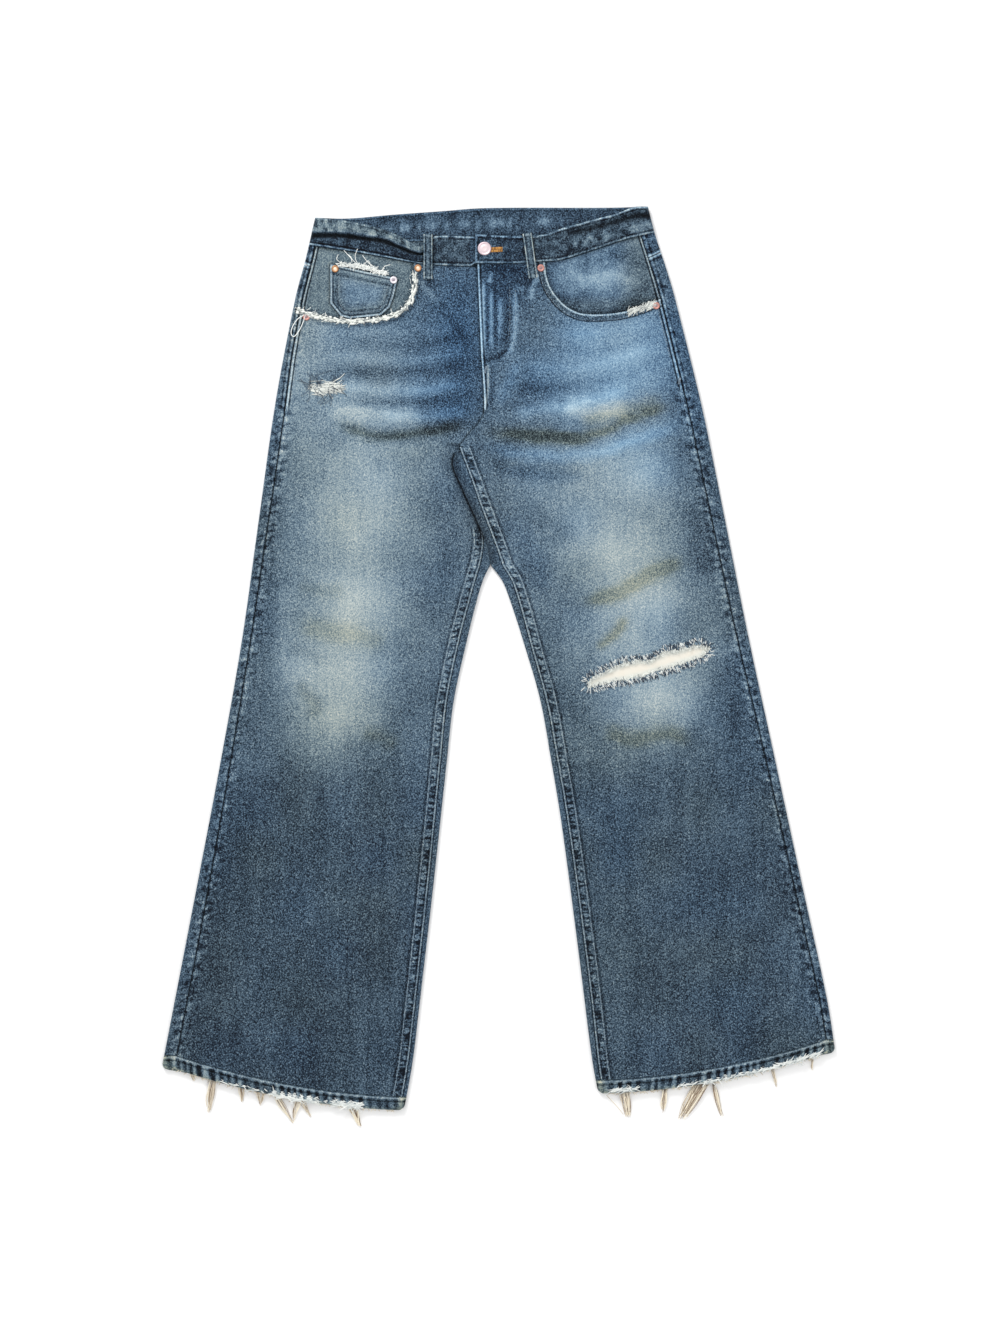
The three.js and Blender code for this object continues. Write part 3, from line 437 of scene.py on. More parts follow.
# Relief of the top face: creases, long slack waves, a groove and puckers along each seam, and the
# double thickness of a felled inseam.
def relief(row, x, y, height):
    side = row["leg"]["side"]
    dOut, dIn = (row["seam"] - x) * side, (x - row["inner"]) * side
    slack = (0.9 * softNoise(x + 0.3 * y, y, 62, 95, 12) + 0.5 * softNoise(x - 0.5 * y, y, 26, 44, 13)
             + 0.2 * softNoise(x + y, y, 11, 17, 14))
    calm = ease(0, 14, dOut) * ease(0, 14, dIn) * 0.75 + 0.25
    low = row["y"] < lie["fourWay"]
    z = (height + slack) * calm + 0.7 * felledAt(row, y) * ease(14.2, 12.6, dIn) * ease(-0.4, 1.0, dIn)
    z = z - 0.5 * bell(dOut, 1.2) + 0.55 * pucker(np.abs(dOut), y, 11.0, 7, 21) * ease(0.5, 3, np.abs(dOut))
    z = z + np.where(low, 0.3 * pucker(dIn, y, 7.0, 6, 24) * ease(1.5, 4, dIn), 0)
    hemGap = row["y"] - (row["leg"]["hemY"][1] + lie["hemDepth"])
    return z * ease(-2, 4, hemGap) + 0.4 * pucker(hemGap, x, 10.5, 6, 27) * (hemGap < 25)


# An object in the frame's metres from points in millimetres, its faces, and its point attributes.
def newObject(name, points, faces, attributes, material, sharp=38):
    mesh = bpy.data.meshes.new(name)
    place = (points + np.array([shiftX, shiftY, 0])) * 0.001
    mesh.from_pydata(place.tolist(), [], faces if isinstance(faces, list) else faces.tolist())
    for key, values in attributes.items():
        attribute = mesh.attributes.new(key, "FLOAT_VECTOR", "POINT")
        attribute.data.foreach_set("vector", values.astype(np.float32).ravel())
    mesh.polygons.foreach_set("use_smooth", np.ones(len(faces), bool))
    mesh.set_sharp_from_angle(angle=math.radians(sharp))
    mesh.materials.append(material)
    obj = bpy.data.objects.new(name, mesh)
    bpy.context.scene.collection.objects.link(obj)
    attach(obj, "root")
    return obj


# A wall of cloth from a grid of outer points: the inner points lie the wall's thickness along the
# grid's normals, and every open edge is closed by a strip. Column 0 faces up.
def clothPiece(name, outer, material, attributes, wall=None, keep=None, wrap=False, sharp=38):
    rows, cols = outer.shape[:2]
    alongCols = (np.roll(outer, -1, 1) - np.roll(outer, 1, 1)) if wrap else np.gradient(outer, axis=1)
    normal = unit(np.cross(alongCols, np.gradient(outer, axis=0)))
    turned = normal[:, 0, 2].mean() < 0
    normal = -normal if turned else normal
    inner = outer - normal * (lie["wall"] if wall is None else wall)
    index = np.arange(rows * cols).reshape(rows, cols)
    side = np.roll(index, -1, 1) if wrap else index[:, 1:]
    base = index if wrap else index[:, :-1]
    quads = np.stack([base[:-1], side[:-1], side[1:], base[1:]], -1)
    quads = quads[keep] if keep is not None else quads.reshape(-1, 4)
    quads = quads[:, ::-1] if turned else quads
    n = rows * cols
    a, b = quads.ravel(), np.roll(quads, -1, 1).ravel()
    open_ = ~np.isin(a * n + b, b * n + a)
    a, b = a[open_], b[open_]
    faces = np.concatenate([quads, quads[:, ::-1] + n, np.stack([b, a, a + n, b + n], 1)])
    used, faces = np.unique(faces, return_inverse=True)
    points = np.concatenate([outer.reshape(-1, 3), inner.reshape(-1, 3)])[used]
    both = {k: np.concatenate([v.reshape(-1, 3)] * 2)[used] for k, v in attributes.items()}
    return newObject(name, points, faces.reshape(-1, 4), both, material, sharp)


# Drops the cells whose middles lie in a closed outline, or outside it, and moves the corners left
# along the cut on to the outline.
def trim(x, y, outline, keepInside=False, keep=None):
    loop = closed(outline)
    mx, my = [0.25 * (v[:-1, :-1] + v[1:, :-1] + v[:-1, 1:] + v[1:, 1:]) for v in (x, y)]
    kept = inside(mx, my, outline) if keepInside else ~inside(mx, my, outline)
    touch = np.zeros((2,) + x.shape, bool)
    for k, cells in enumerate((kept, ~kept)):
        for r, c in ((0, 0), (0, 1), (1, 0), (1, 1)):
            touch[k][r:r + cells.shape[0], c:c + cells.shape[1]] |= cells
    onCut = touch[0] & touch[1]
    if keepInside:
        onCut = touch[0] & (touch[1] | ~np.pad(np.ones((x.shape[0] - 2, x.shape[1] - 2), bool), 1))
    _, _, nx, ny = nearLine(x[onCut], y[onCut], loop)
    x, y = x.copy(), y.copy()
    x[onCut], y[onCut] = nx, ny
    return x, y, kept if keep is None else kept & keep


def vec(a, b, c):
    return np.stack(np.broadcast_arrays(a, b, c), -1).astype(float)


# Row heights from the top down to the bottom, an even step apart.
def rowsBetween(top, bottom, step):
    return np.linspace(top, bottom, int(abs(top - bottom) / step) + 1)[:, None]


# Top face of a leg at any points: the row through each point is found by halving.
def rowThrough(leg, x, y):
    high, low = np.full(np.shape(x), leg["waistY"][1] + 60.0), np.full(np.shape(x), leg["hemY"][1] - 30.0)
    for _ in range(20):
        middle = (high + low) / 2
        above = rowY(rowOf(leg, middle), x) > y
        high, low = np.where(above, middle, high), np.where(above, low, middle)
    return rowOf(leg, (high + low) / 2)


def topAt(x, y):
    x, y = np.asarray(x, float), np.asarray(y, float)
    split = np.where(y > lie["fourWay"], rise(y), np.where(y > lie["crotch"], thighFold(y), 0))
    height = creaseSum(x, y)[2]
    rows = [rowThrough(leg, x, y) for leg in (rightLeg, leftLeg)]
    z = [faceZ(row, x) + relief(row, x, y, height) for row in rows]
    return np.where(x < split, z[0], z[1])


# Threads are tubes along many paths at once. Rings of four points stand square to each path, and
# the first and last ring close its ends.
# A tone for each thread, or for each point of it, picks its colour.
def tubes(name, paths, radii, tones, material):
    paths = np.asarray(paths, float)
    n, k = paths.shape[:2]
    radii = np.broadcast_to(radii, (n, k))
    tangent = unit(np.gradient(paths, axis=1))
    sideways = unit(np.cross(tangent, [0.013, 0.009, 1.0]))
    upright = np.cross(sideways, tangent)
    angle = np.arange(4) * np.pi / 2
    ring = (np.cos(angle)[:, None] * sideways[:, :, None] + np.sin(angle)[:, None] * upright[:, :, None])
    points = paths[:, :, None] + ring * radii[:, :, None, None]
    index = np.arange(n * k * 4).reshape(n, k, 4)
    a, b = index[:, :-1], index[:, 1:]
    walls = np.stack([a, np.roll(a, -1, 2), np.roll(b, -1, 2), b], -1).reshape(-1, 4)
    faces = np.concatenate([walls, index[:, 0, ::-1], index[:, -1]])
    along = np.linspace(0, 1, k)
    tones = np.broadcast_to(np.asarray(tones).reshape(n, -1), (n, k))
    tone = vec(tones[:, :, None], along[None, :, None], np.zeros((1, 1, 4)))
    return newObject(name, points.reshape(-1, 3), faces, {"tone": tone.reshape(-1, 3)}, material, 80)


# Loose threads: each leaves its root at its angle and bends sideways as the square of the way along.
def looseThreads(x, y, angle, length, bend, steps, wave=0.0, seed=1):
    t = np.linspace(0, 1, steps)[None, :]
    x, y, angle, length, bend = [np.broadcast_to(v, np.shape(x)).astype(float)[:, None]
                                 for v in (x, y, angle, length, bend)]
    phase = np.random.default_rng(seed).uniform(0, 6.3, x.shape)
    off = bend * length * t**2 + wave * np.sin(5 * t + phase) * t
    px = x + np.cos(angle) * length * t - np.sin(angle) * off
    py = y + np.sin(angle) * length * t + np.cos(angle) * off
    return px, py, t


# Stitches along a line: short threads an even pitch apart, thickest in their middles.
def stitchPaths(line, pitch, length, zAt, lift=0.15):
    line = np.asarray(line, float)
    s = alongLine(line)
    starts = np.arange(0.5, s[-1] - length, pitch)
    at = starts[:, None] + np.array([0, 0.25, 0.75, 1]) * length
    x, y = onLine(at, s, line)
    return vec(x, y, zAt(x, y) + lift + np.array([-0.35, 0.1, 0.1, -0.35]))


# Gives an input its value. A value that is another node's output becomes a link.
def plug(value, socket):
    if isinstance(value, bpy.types.NodeSocket):
        socket.id_data.links.new(value, socket)
    else:
        socket.default_value = value


# The node tree that the outputs among some values belong to.
def treeOf(*values):
    return next(v.id_data for v in values if isinstance(v, bpy.types.NodeSocket))


def addNode(tree, kind, **values):
    n = tree.nodes.new(kind)
    for key, value in values.items():
        plug(value, n.inputs[key.replace("_", " ")])
    return n


def calc(operation, *terms, clamp=False):
    n = treeOf(*terms).nodes.new("ShaderNodeMath")
    n.operation, n.use_clamp = operation, clamp
    for term, socket in zip(terms, n.inputs):
        plug(term, socket)
    return n.outputs[0]


def minus(a, b, clamp=False):
    return calc("SUBTRACT", a, b, clamp=clamp)


def addUp(*terms):
    total = terms[0]
    for term in terms[1:]:
        total = calc("ADD", total, term)
    return total


def times(*terms):
    total = terms[0]
    for term in terms[1:]:
        total = calc("MULTIPLY", total, term)
    return total


def blendColor(how, factor, a, b):
    n = treeOf(factor, a, b).nodes.new("ShaderNodeMix")
    n.data_type, n.blend_type = "RGBA", how
    for slot, value in ((0, factor), (6, a), (7, b)):
        plug(value, n.inputs[slot])
    return n.outputs[2]


def rampColor(factor, stops):
    n = factor.id_data.nodes.new("ShaderNodeValToRGB")
    while len(n.color_ramp.elements) < len(stops):
        n.color_ramp.elements.new(0.5)
    for element, (at, color) in zip(n.color_ramp.elements, stops):
        element.position, element.color = at, dyed(*color)
    plug(factor, n.inputs[0])
    return n.outputs[0]


# A colour given as red, green and blue from 0 to 255, as light: ((v/255 + 0.055)/1.055) to the 2.4.
def dyed(r, g, b):
    return tuple(((v / 255 + 0.055) / 1.055) ** 2.4 if v > 10 else v / 255 / 12.92 for v in (r, g, b)) + (1,)


def newGroup(name, inputs, outputs):
    tree = bpy.data.node_groups.new(name, "ShaderNodeTree")
    kinds = {"Vector": "NodeSocketVector", "Color": "NodeSocketColor"}
    for way, sockets in (("INPUT", inputs), ("OUTPUT", outputs)):
        for socket in sockets:
            kind = kinds.get(socket, "NodeSocketFloat")
            tree.interface.new_socket(socket, in_out=way, socket_type=kind)
    return tree, tree.nodes.new("NodeGroupInput").outputs, tree.nodes.new("NodeGroupOutput").inputs


def groupNode(name, **values):
    n = treeOf(*values.values()).nodes.new("ShaderNodeGroup")
    n.node_tree = bpy.data.node_groups[name]
    for key, value in values.items():
        plug(value, n.inputs[key])
    return n.outputs


# A line at a distance: 1 in its middle, falling straight to 0 over its width.
def crispLine(distance, at, width):
    return groupNode("crispLine", Distance=distance, At=at, Width=width)["Mask"]


def objectPoint(tree):
    return addNode(tree, "ShaderNodeTexCoord").outputs["Object"]


def addBump(shader, height, strength, distance):
    bump = addNode(height.id_data, "ShaderNodeBump", Height=height, Strength=strength, Distance=distance)
    plug(bump.outputs[0], shader.inputs["Normal"])


# Noise turned off the axes, because it is calmer where a face lies along a plane of its lattice.
def noiseAt(vector, scale, size, detail):
    mapped = addNode(vector.id_data, "ShaderNodeMapping", Vector=vector,
                     Scale=scale, Rotation=(0.6, 0.5, 0.2))
    return addNode(vector.id_data, "ShaderNodeTexNoise", Vector=mapped.outputs[0], Scale=size,
                   Detail=detail, Roughness=0.6).outputs[0]


# Yarn: salt and pepper flecks, slow streaks along the warp, and the slant of the twill.
def yarnGroup():
    tree, given, made = newGroup("denimYarn", ["Vector"], ["Fleck", "Streak", "Height"])
    fleck = addUp(times(noiseAt(given["Vector"], (1, 0.85, 1), 640, 2), 0.66),
                  times(noiseAt(given["Vector"], (1, 1, 1), 1050, 1.5), 0.34))
    axes = addNode(tree, "ShaderNodeSeparateXYZ", Vector=given["Vector"])
    slant = calc("ADD", axes.outputs[0], calc("MULTIPLY", axes.outputs[1], 0.55))
    twill = calc("SINE", calc("MULTIPLY", slant, 2 * math.pi / 0.0012))
    plug(fleck, made["Fleck"])
    plug(noiseAt(given["Vector"], (1, 0.06, 1), 190, 2), made["Streak"])
    plug(addUp(times(twill, 0.15), fleck), made["Height"])


def lineGroup():
    _, given, made = newGroup("crispLine", ["Distance", "At", "Width"], ["Mask"])
    off = calc("ABSOLUTE", minus(given["Distance"], given["At"]))
    plug(minus(1.0, calc("DIVIDE", off, given["Width"]), clamp=True), made["Mask"])


# Seam track: uneven light and dark bars across a seam, different on its two sides, that fall away
# with the distance from it.
def trackGroup():
    tree, given, made = newGroup("seamTrack", ["Distance", "Along", "Pitch", "Reach"], ["Light", "Dark"])
    gap = calc("ABSOLUTE", given["Distance"])
    place = addNode(tree, "ShaderNodeCombineXYZ", X=calc("DIVIDE", given["Along"], given["Pitch"]),
                    Y=calc("MULTIPLY", gap, 0.06), Z=calc("MULTIPLY", calc("SIGN", given["Distance"]), 1.7))
    bars = addNode(tree, "ShaderNodeTexNoise", Vector=place.outputs[0], Scale=1.7, Detail=1.5).outputs[0]
    swing = times(minus(bars, 0.5), 6.5)
    near = minus(1.0, calc("DIVIDE", gap, given["Reach"]), clamp=True)
    near = calc("POWER", near, 0.6)
    plug(times(calc("ADD", swing, -0.1, clamp=True), near), made["Light"])
    plug(times(minus(-0.1, swing, clamp=True), near), made["Dark"])


# Felled seam: a worn edge, a dark stitched groove, a ladder of bars, and the second stitched edge.
def felledGroup():
    tree, given, made = newGroup("felledSeam", ["Distance", "Along", "Pitch", "Wide"], ["Light", "Dark"])
    line = lambda at, width: crispLine(given["Distance"], at, width)
    place = addNode(tree, "ShaderNodeCombineXYZ", X=calc("DIVIDE", given["Along"], given["Pitch"]),
                    Y=calc("MULTIPLY", given["Distance"], 0.05))
    bars = addNode(tree, "ShaderNodeTexNoise", Vector=place.outputs[0], Scale=1.9, Detail=1.0).outputs[0]
    swing = times(minus(bars, 0.49), 9.0)
    inBand = line(times(given["Wide"], 0.56), times(given["Wide"], 0.42))
    inBand = calc("MULTIPLY", inBand, 2.2, clamp=True)
    uneven = calc("ADD", times(minus(bars, 0.4), 2.5), 0.6, clamp=True)
    farEdge = line(given["Wide"], 1.25)
    light = addUp(line(1.2, 1.3), times(farEdge, uneven),
                  times(calc("ADD", swing, 0.0, clamp=True), inBand, 0.55))
    dark = addUp(line(-0.5, 0.9), line(3.4, 1.3), times(line(calc("ADD", given["Wide"], 2.4), 2.4), 0.75),
                 times(minus(0.0, swing, clamp=True), inBand, 0.9))
    plug(light, made["Light"])
    plug(dark, made["Dark"])


washStops = [(0.0, (14, 21, 31)), (0.2, (47, 63, 78)), (0.4, (80, 101, 119)), (0.6, (119, 139, 152)),
             (0.8, (157, 171, 175)), (1.0, (196, 203, 200))]


# Washed denim: a fade picks a colour from indigo to bare cotton, warmth tints it tan or blue, and
# shade darkens it.
def washGroup():
    tree, given, made = newGroup("washedDenim", ["Fade", "Warmth", "Shade"], ["Color"])
    base = rampColor(given["Fade"], washStops)
    tan = calc("MULTIPLY", given["Warmth"], 1.0, clamp=True)
    blue = calc("MULTIPLY", given["Warmth"], -1.0, clamp=True)
    tinted = blendColor("MULTIPLY", tan, base, (1.12, 0.97, 0.74, 1))
    tinted = blendColor("MULTIPLY", blue, tinted, (0.74, 0.98, 1.24, 1))
    lit = minus(1.0, given["Shade"], clamp=True)
    gray = addNode(tree, "ShaderNodeCombineColor", Red=lit, Green=lit, Blue=lit)
    plug(blendColor("MULTIPLY", 1.0, tinted, gray.outputs[0]), made["Color"])


for makeGroup in (yarnGroup, lineGroup, trackGroup, felledGroup, washGroup):
    makeGroup()


def newMaterial(name, **fixed):
    material = bpy.data.materials.new(name)
    material.use_nodes = True
    tree = material.node_tree
    shader = tree.nodes["Principled BSDF"]
    for key, value in fixed.items():
        shader.inputs[key.replace("_", " ")].default_value = value
    return material, tree, shader


def readAttribute(tree, name):
    attribute = addNode(tree, "ShaderNodeAttribute")
    attribute.attribute_name = name
    return addNode(tree, "ShaderNodeSeparateXYZ", Vector=attribute.outputs["Vector"]).outputs


# Denim reads its piece's wear and shade (fade, warmth, and a darkening that holds painted shade and
# dark stitch lines), seams (distances from the outseam and the inseam, way along), lines (strength of
# a double seam, a felled seam and a track) and edges (distance from a turned edge, strength, distance
# of its stitch line).
def denimMaterial(name, grain=2.0, track=0.26, pitch=10.0, reach=15.0, bump=0.6):
    material, tree, shader = newMaterial(name, Roughness=0.95, Sheen_Weight=0.03, Specular_IOR_Level=0.12)
    wearAndShade, seams, lines, edges = [readAttribute(tree, key) for key in ("wearAndShade", "seams", "lines", "edges")]
    yarn = groupNode("denimYarn", Vector=objectPoint(tree))
    speck = times(minus(yarn["Fleck"], 0.5), minus(1.5, wearAndShade[0]), grain)
    streak = times(minus(yarn["Streak"], 0.5), 0.16)
    bars = groupNode("seamTrack", Distance=seams[0], Along=seams[2], Pitch=pitch, Reach=reach)
    felled = groupNode("felledSeam", Distance=seams[1], Along=seams[2], Pitch=7.0, Wide=11.6)
    edgeLight = times(crispLine(edges[0], 1.2, 1.6), edges[1])
    edgeDark = times(crispLine(edges[0], edges[2], 1.5), edges[1])
    doubleLight = times(addUp(crispLine(seams[0], 2.1, 1.4), times(crispLine(seams[0], -2.6, 1.3), 0.5)),
                        lines[0])
    doubleDark = addUp(crispLine(seams[0], 4.6, 1.3), crispLine(seams[0], -0.2, 1.6),
                       times(crispLine(seams[0], -5.4, 1.6), 0.9))
    doubleDark = times(doubleDark, lines[0])
    groove = calc("MULTIPLY", times(crispLine(seams[0], 0.1, 1.25), lines[2]), 1.2, clamp=True)
    flank = times(calc("ADD", crispLine(seams[0], -2.8, 1.5), crispLine(seams[0], 3.4, 1.3)), lines[2])
    fade = addUp(wearAndShade[0], speck, streak, times(bars["Light"], lines[2], track * 0.8),
                 times(felled["Light"], lines[1], 0.46), times(edgeLight, 0.62),
                 times(doubleLight, 0.42), times(flank, 0.12))
    darker = addUp(times(bars["Dark"], lines[2], track * 1.1), times(felled["Dark"], lines[1], 0.20),
                   times(edgeDark, 0.2), times(doubleDark, 0.24))
    fade = minus(fade, darker)
    shade = addUp(wearAndShade[2], times(groove, 0.9), times(felled["Dark"], lines[1], 0.34),
                  times(edgeDark, 0.75), times(doubleDark, 1.0))
    cool = minus(wearAndShade[1], times(addUp(edgeLight, doubleLight), 0.5))
    color = groupNode("washedDenim", Fade=fade, Warmth=cool, Shade=calc("MINIMUM", shade, 0.9))["Color"]
    plug(color, shader.inputs["Base Color"])
    addBump(shader, yarn["Height"], bump, 0.0008)
    return material


# Thread: a colour between two, chosen by each thread's own tone and darker at its root.
def threadMaterial(name, pale, deep, rootShade=0.25, rough=0.85):
    material, tree, shader = newMaterial(name, Roughness=rough, Sheen_Weight=0.1, Specular_IOR_Level=0.2)
    tone = readAttribute(tree, "tone")
    yarn = groupNode("denimYarn", Vector=objectPoint(tree))
    color = blendColor("MIX", calc("MULTIPLY", tone[0], 1.0, clamp=True), dyed(*pale), dyed(*deep))
    root = times(minus(1.0, times(tone[1], 4.0), clamp=True), rootShade)
    color = blendColor("MIX", root, color, dyed(66, 78, 92))
    plug(color, shader.inputs["Base Color"])
    addBump(shader, yarn["Fleck"], 0.4, 0.0004)
    return material


# Worn metal: a base colour in patches, a colour of its own in the middle, painted shade at the rim,
# roughened by scratches.
def metalMaterial(name, bright, dull, middle, rough):
    material, tree, shader = newMaterial(name, Metallic=0.75)
    at = objectPoint(tree)
    patches = noiseAt(at, (1, 1, 1), 420.0, 4.0)
    scratch = noiseAt(at, (1, 9, 1), 900.0, 2.0)
    ring = readAttribute(tree, "ring")[0]  # 0 in the middle of the head, 1 at its rim
    color = blendColor("MIX", patches, dyed(*bright), dyed(*dull))
    color = blendColor("MIX", calc("MULTIPLY", minus(0.62, ring), 3.0, clamp=True), color, dyed(*middle))
    # painted shade: the colour darkens towards the rim
    rim = calc("MULTIPLY", minus(ring, 0.8), 4.0, clamp=True)
    plug(blendColor("MULTIPLY", times(rim, 0.75), color, dyed(*dull)), shader.inputs["Base Color"])
    plug(addUp(times(scratch, 0.25), rough), shader.inputs["Roughness"])
    addBump(shader, scratch, 0.2, 0.0002)
    return material


panelDenim = denimMaterial("panelDenim")
trimDenim = denimMaterial("trimDenim", grain=1.7, track=0.34, pitch=9.0, reach=17.0)
creamCloth = threadMaterial("creamCloth", (218, 222, 216), (224, 216, 202), 0.0)
frayCloth = threadMaterial("frayCloth", (230, 233, 227), (70, 82, 92), 0.0)
whiteThread = threadMaterial("whiteThread", (240, 242, 238), (196, 202, 202), 0.2)
tanThread = threadMaterial("tanThread", (250, 242, 222), (112, 80, 52), 0.35)
blueThread = threadMaterial("blueThread", (96, 114, 132), (30, 40, 54), 0.1)
seamThread = threadMaterial("seamThread", (150, 166, 178), (84, 100, 116), 0.0)
goldThread = threadMaterial("goldThread", (196, 148, 84), (128, 88, 44), 0.0)
copperMetal = metalMaterial("copperMetal", (206, 160, 118), (150, 104, 72), (250, 226, 202), 0.45)
pinkMetal = metalMaterial("pinkMetal", (222, 168, 156), (160, 110, 104), (146, 122, 124), 0.45)
paleMetal = metalMaterial("paleMetal", (244, 240, 244), (216, 208, 214), (150, 140, 150), 0.4)
roseMetal = metalMaterial("roseMetal", (236, 222, 226), (206, 186, 192), (228, 212, 214), 0.4)
print("materials made")

# Outlines shared by several pieces.
mouths = {
    "right": smoothLine([(-106, 512), (-105, 476), (-110, 457.5), (-123, 442.5), (-148, 434), (-186, 431),
                         (-221, 435.5), (-262, 449)], 60),
    "left": smoothLine([(58, 512), (59, 493), (64, 475), (73, 461), (87, 447.5), (106, 440), (138, 440),
                        (166, 445), (214, 463)], 60),
}
# the knee rip, round from its inner end: out along its top, then back along its foot
ripLoop = [(112, -24), (115, -18), (127, -11), (157, 2), (180, 6), (186, 4), (206, 15), (229, 19), (249, 26),
           (263, 21), (249, 11), (220, 2), (199, -5), (177, -11), (157, -16), (134, -19), (116, -25)]


# The rip's outline, moved outwards by extra and made ragged by noise along it.
def ripOutline(extra, ragged, n=120):
    loop = closed(np.array(ripLoop, float))
    s = alongLine(loop)
    q = np.linspace(0, s[-1], n, endpoint=False)
    p = np.stack(onLine(q, s, loop), 1)
    step = unit(np.roll(p, -2, 0) - np.roll(p, 2, 0))
    rough = ragged * (softNoise(q, 0, 6, 5, 31) + 0.6 * softNoise(q, 0, 2.5, 5, 32))
    return p + np.stack([-step[:, 1], step[:, 0]], 1) * (extra + rough)[:, None]


# The opening above a pocket mouth, up past the waist.
def mouthArea(mouth):
    return np.concatenate([mouth, [[mouth[-1, 0], 590], [mouth[0, 0], 590]]])


# Front panels: strips from the outseam to the rise and the inseam.
frontPanels = {"columns": 108, "crowd": 0.1, "flyEdge": 1.3, "mouthHem": 8.0, "kneeStep": 1.25}


# Columns crowd towards the seams: t minus a sine of 2 pi t.
def frontPanel(leg):
    name, side, p = leg["name"], leg["side"], frontPanels
    top, bottom = leg["waistY"][1] - lie["waistSeam"], leg["hemY"][1] + lie["hemDepth"] + lie["seamGap"]
    rows = rowsBetween(top, bottom, lie["rowStep"])
    if side > 0:  # finer rows across the knee rip
        rows = np.concatenate([rowsBetween(top, 6, lie["rowStep"])[:-1],
                               rowsBetween(6, -52, p["kneeStep"])[:-1],
                               rowsBetween(-52, bottom, lie["rowStep"])])
    row = rowOf(leg, rows)
    t = np.linspace(0, 1, p["columns"])[None, :]
    x = mix(row["seam"] - side * lie["seamGap"], row["inner"] + side * lie["seamGap"],
            t - p["crowd"] * np.sin(2 * np.pi * t))
    y = rowY(row, x)
    x, y, keep = trim(x, y, mouthArea(mouths[name]))
    if side > 0:
        x, y, keep = trim(x, y, ripOutline(2.1, 1.6), keep=keep)
    sums = creaseSum(x, y)
    z = faceZ(row, x) + relief(row, x, y, sums[2])
    fade, warm = topWearAndShade(leg, x, y, sums)
    low = row["y"] < lie["fourWay"]
    dOut, dIn = (row["seam"] - x) * side, np.where(low, (x - row["inner"]) * side, 99)
    mouthGap = nearLine(x, y, mouths[name])[0]
    fly = np.where(row["y"] > 318, np.abs(x - row["inner"]), 99)
    shade = 0.45 * bell(leg["waistLine"](x) - y, 2.4)
    curve = np.where((row["y"] < 322) & ~low, np.abs(x - row["inner"]), 99)
    shade = shade + 0.55 * bell(curve, 1.6)
    hip = doubledAt(side, y)
    if side > 0:  # the hem of the pocket mouth, the doubled fly and the border of the rip
        z = z + 0.7 * ease(p["mouthHem"] + 1, p["mouthHem"] - 1, mouthGap)
        z = z + p["flyEdge"] * ease(60, 0, fly) - 0.5 * bell(fly, 1.2)
        inHem = ease(p["mouthHem"] + 1, p["mouthHem"] - 1, mouthGap)
        fade = mix(fade, 0.25 + 0.08 * softNoise(x, y, 2.6, 30, 35), 0.85 * inHem)
        warm = warm + 0.5 * inHem
        edges = vec(np.minimum(fly, mouthGap), 1, np.where(fly < mouthGap, 3.7, p["mouthHem"] + 0.7))
        ripGap = nearLine(x, y, closed(ripOutline(0, 0)))[0]
        fade = (mix(fade, 0.50, 0.75 * bell(ripGap, 6.5)) + 0.10 * softNoise(x, y,
                2.5, 4, 33) * bell(ripGap, 8))
        warm = warm * (1 - bell(ripGap, 10))
        z = z + 0.5 * bell(ripGap, 5) * softNoise(x, y, 5, 6, 34)
        fade = fade - 0.05 * bell(y - 272, 16) * ease(60, 0, x) * low  # duller by the crotch
    else:
        z = z - 0.6 * ease(8, 0, fly) + 0.5 * ease(11, 7, mouthGap)
        # along the frayed stretch of the mouth: paler under the fray, and a painted shadow line beside it
        frayed = ease(-240, -226, x) * (y < 505)
        fade = fade + frayed * (0.14 * bell(mouthGap, 4) - 0.12 * bell(mouthGap - 7, 2))
        shade = shade + 0.5 * frayed * bell(mouthGap - 5.5, 1.6)
        fade = fade + 0.16 * np.exp(-np.hypot((x + 220) / 26, (y - 348) / 12) ** 2)
        # painted shadow under the other thigh's fold: a dark line and a wider soft shade
        under = np.where((y < 266) & (y > 126), thighFold(y) - x, 99)
        shade = shade + 0.85 * bell(np.maximum(under, 0), 2.6) + 0.22 * bell(np.maximum(under, 0), 14)
        shade = shade + 0.6 * bell(fly, 2.2)
        edges = vec(fly, 0, 4.0)
    fade = fade - 0.05 * low * ease(14, 12, dIn)
    obj = clothPiece(f"frontPanel_{name}", vec(x, y, z), panelDenim,
                     {"wearAndShade": vec(fade, warm, shade), "seams": vec(dOut, dIn, -y), "edges": edges,
                      "lines": vec(hip, felledAt(row, y), 1.15 - 0.6 * hip)}, keep=keep)
    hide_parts(f"front_{name}")
    return obj


fronts = {leg["name"]: frontPanel(leg) for leg in (rightLeg, leftLeg)}
print("front panels made")

# Back panels and yokes run from the outseam round the side fold, under, and round the inner fold.
backPanels = {"strip": 7, "arc": 9, "bottom": 22, "under": 5, "inStrip": 9, "yokeSide": 24, "yokeCentre": 68}


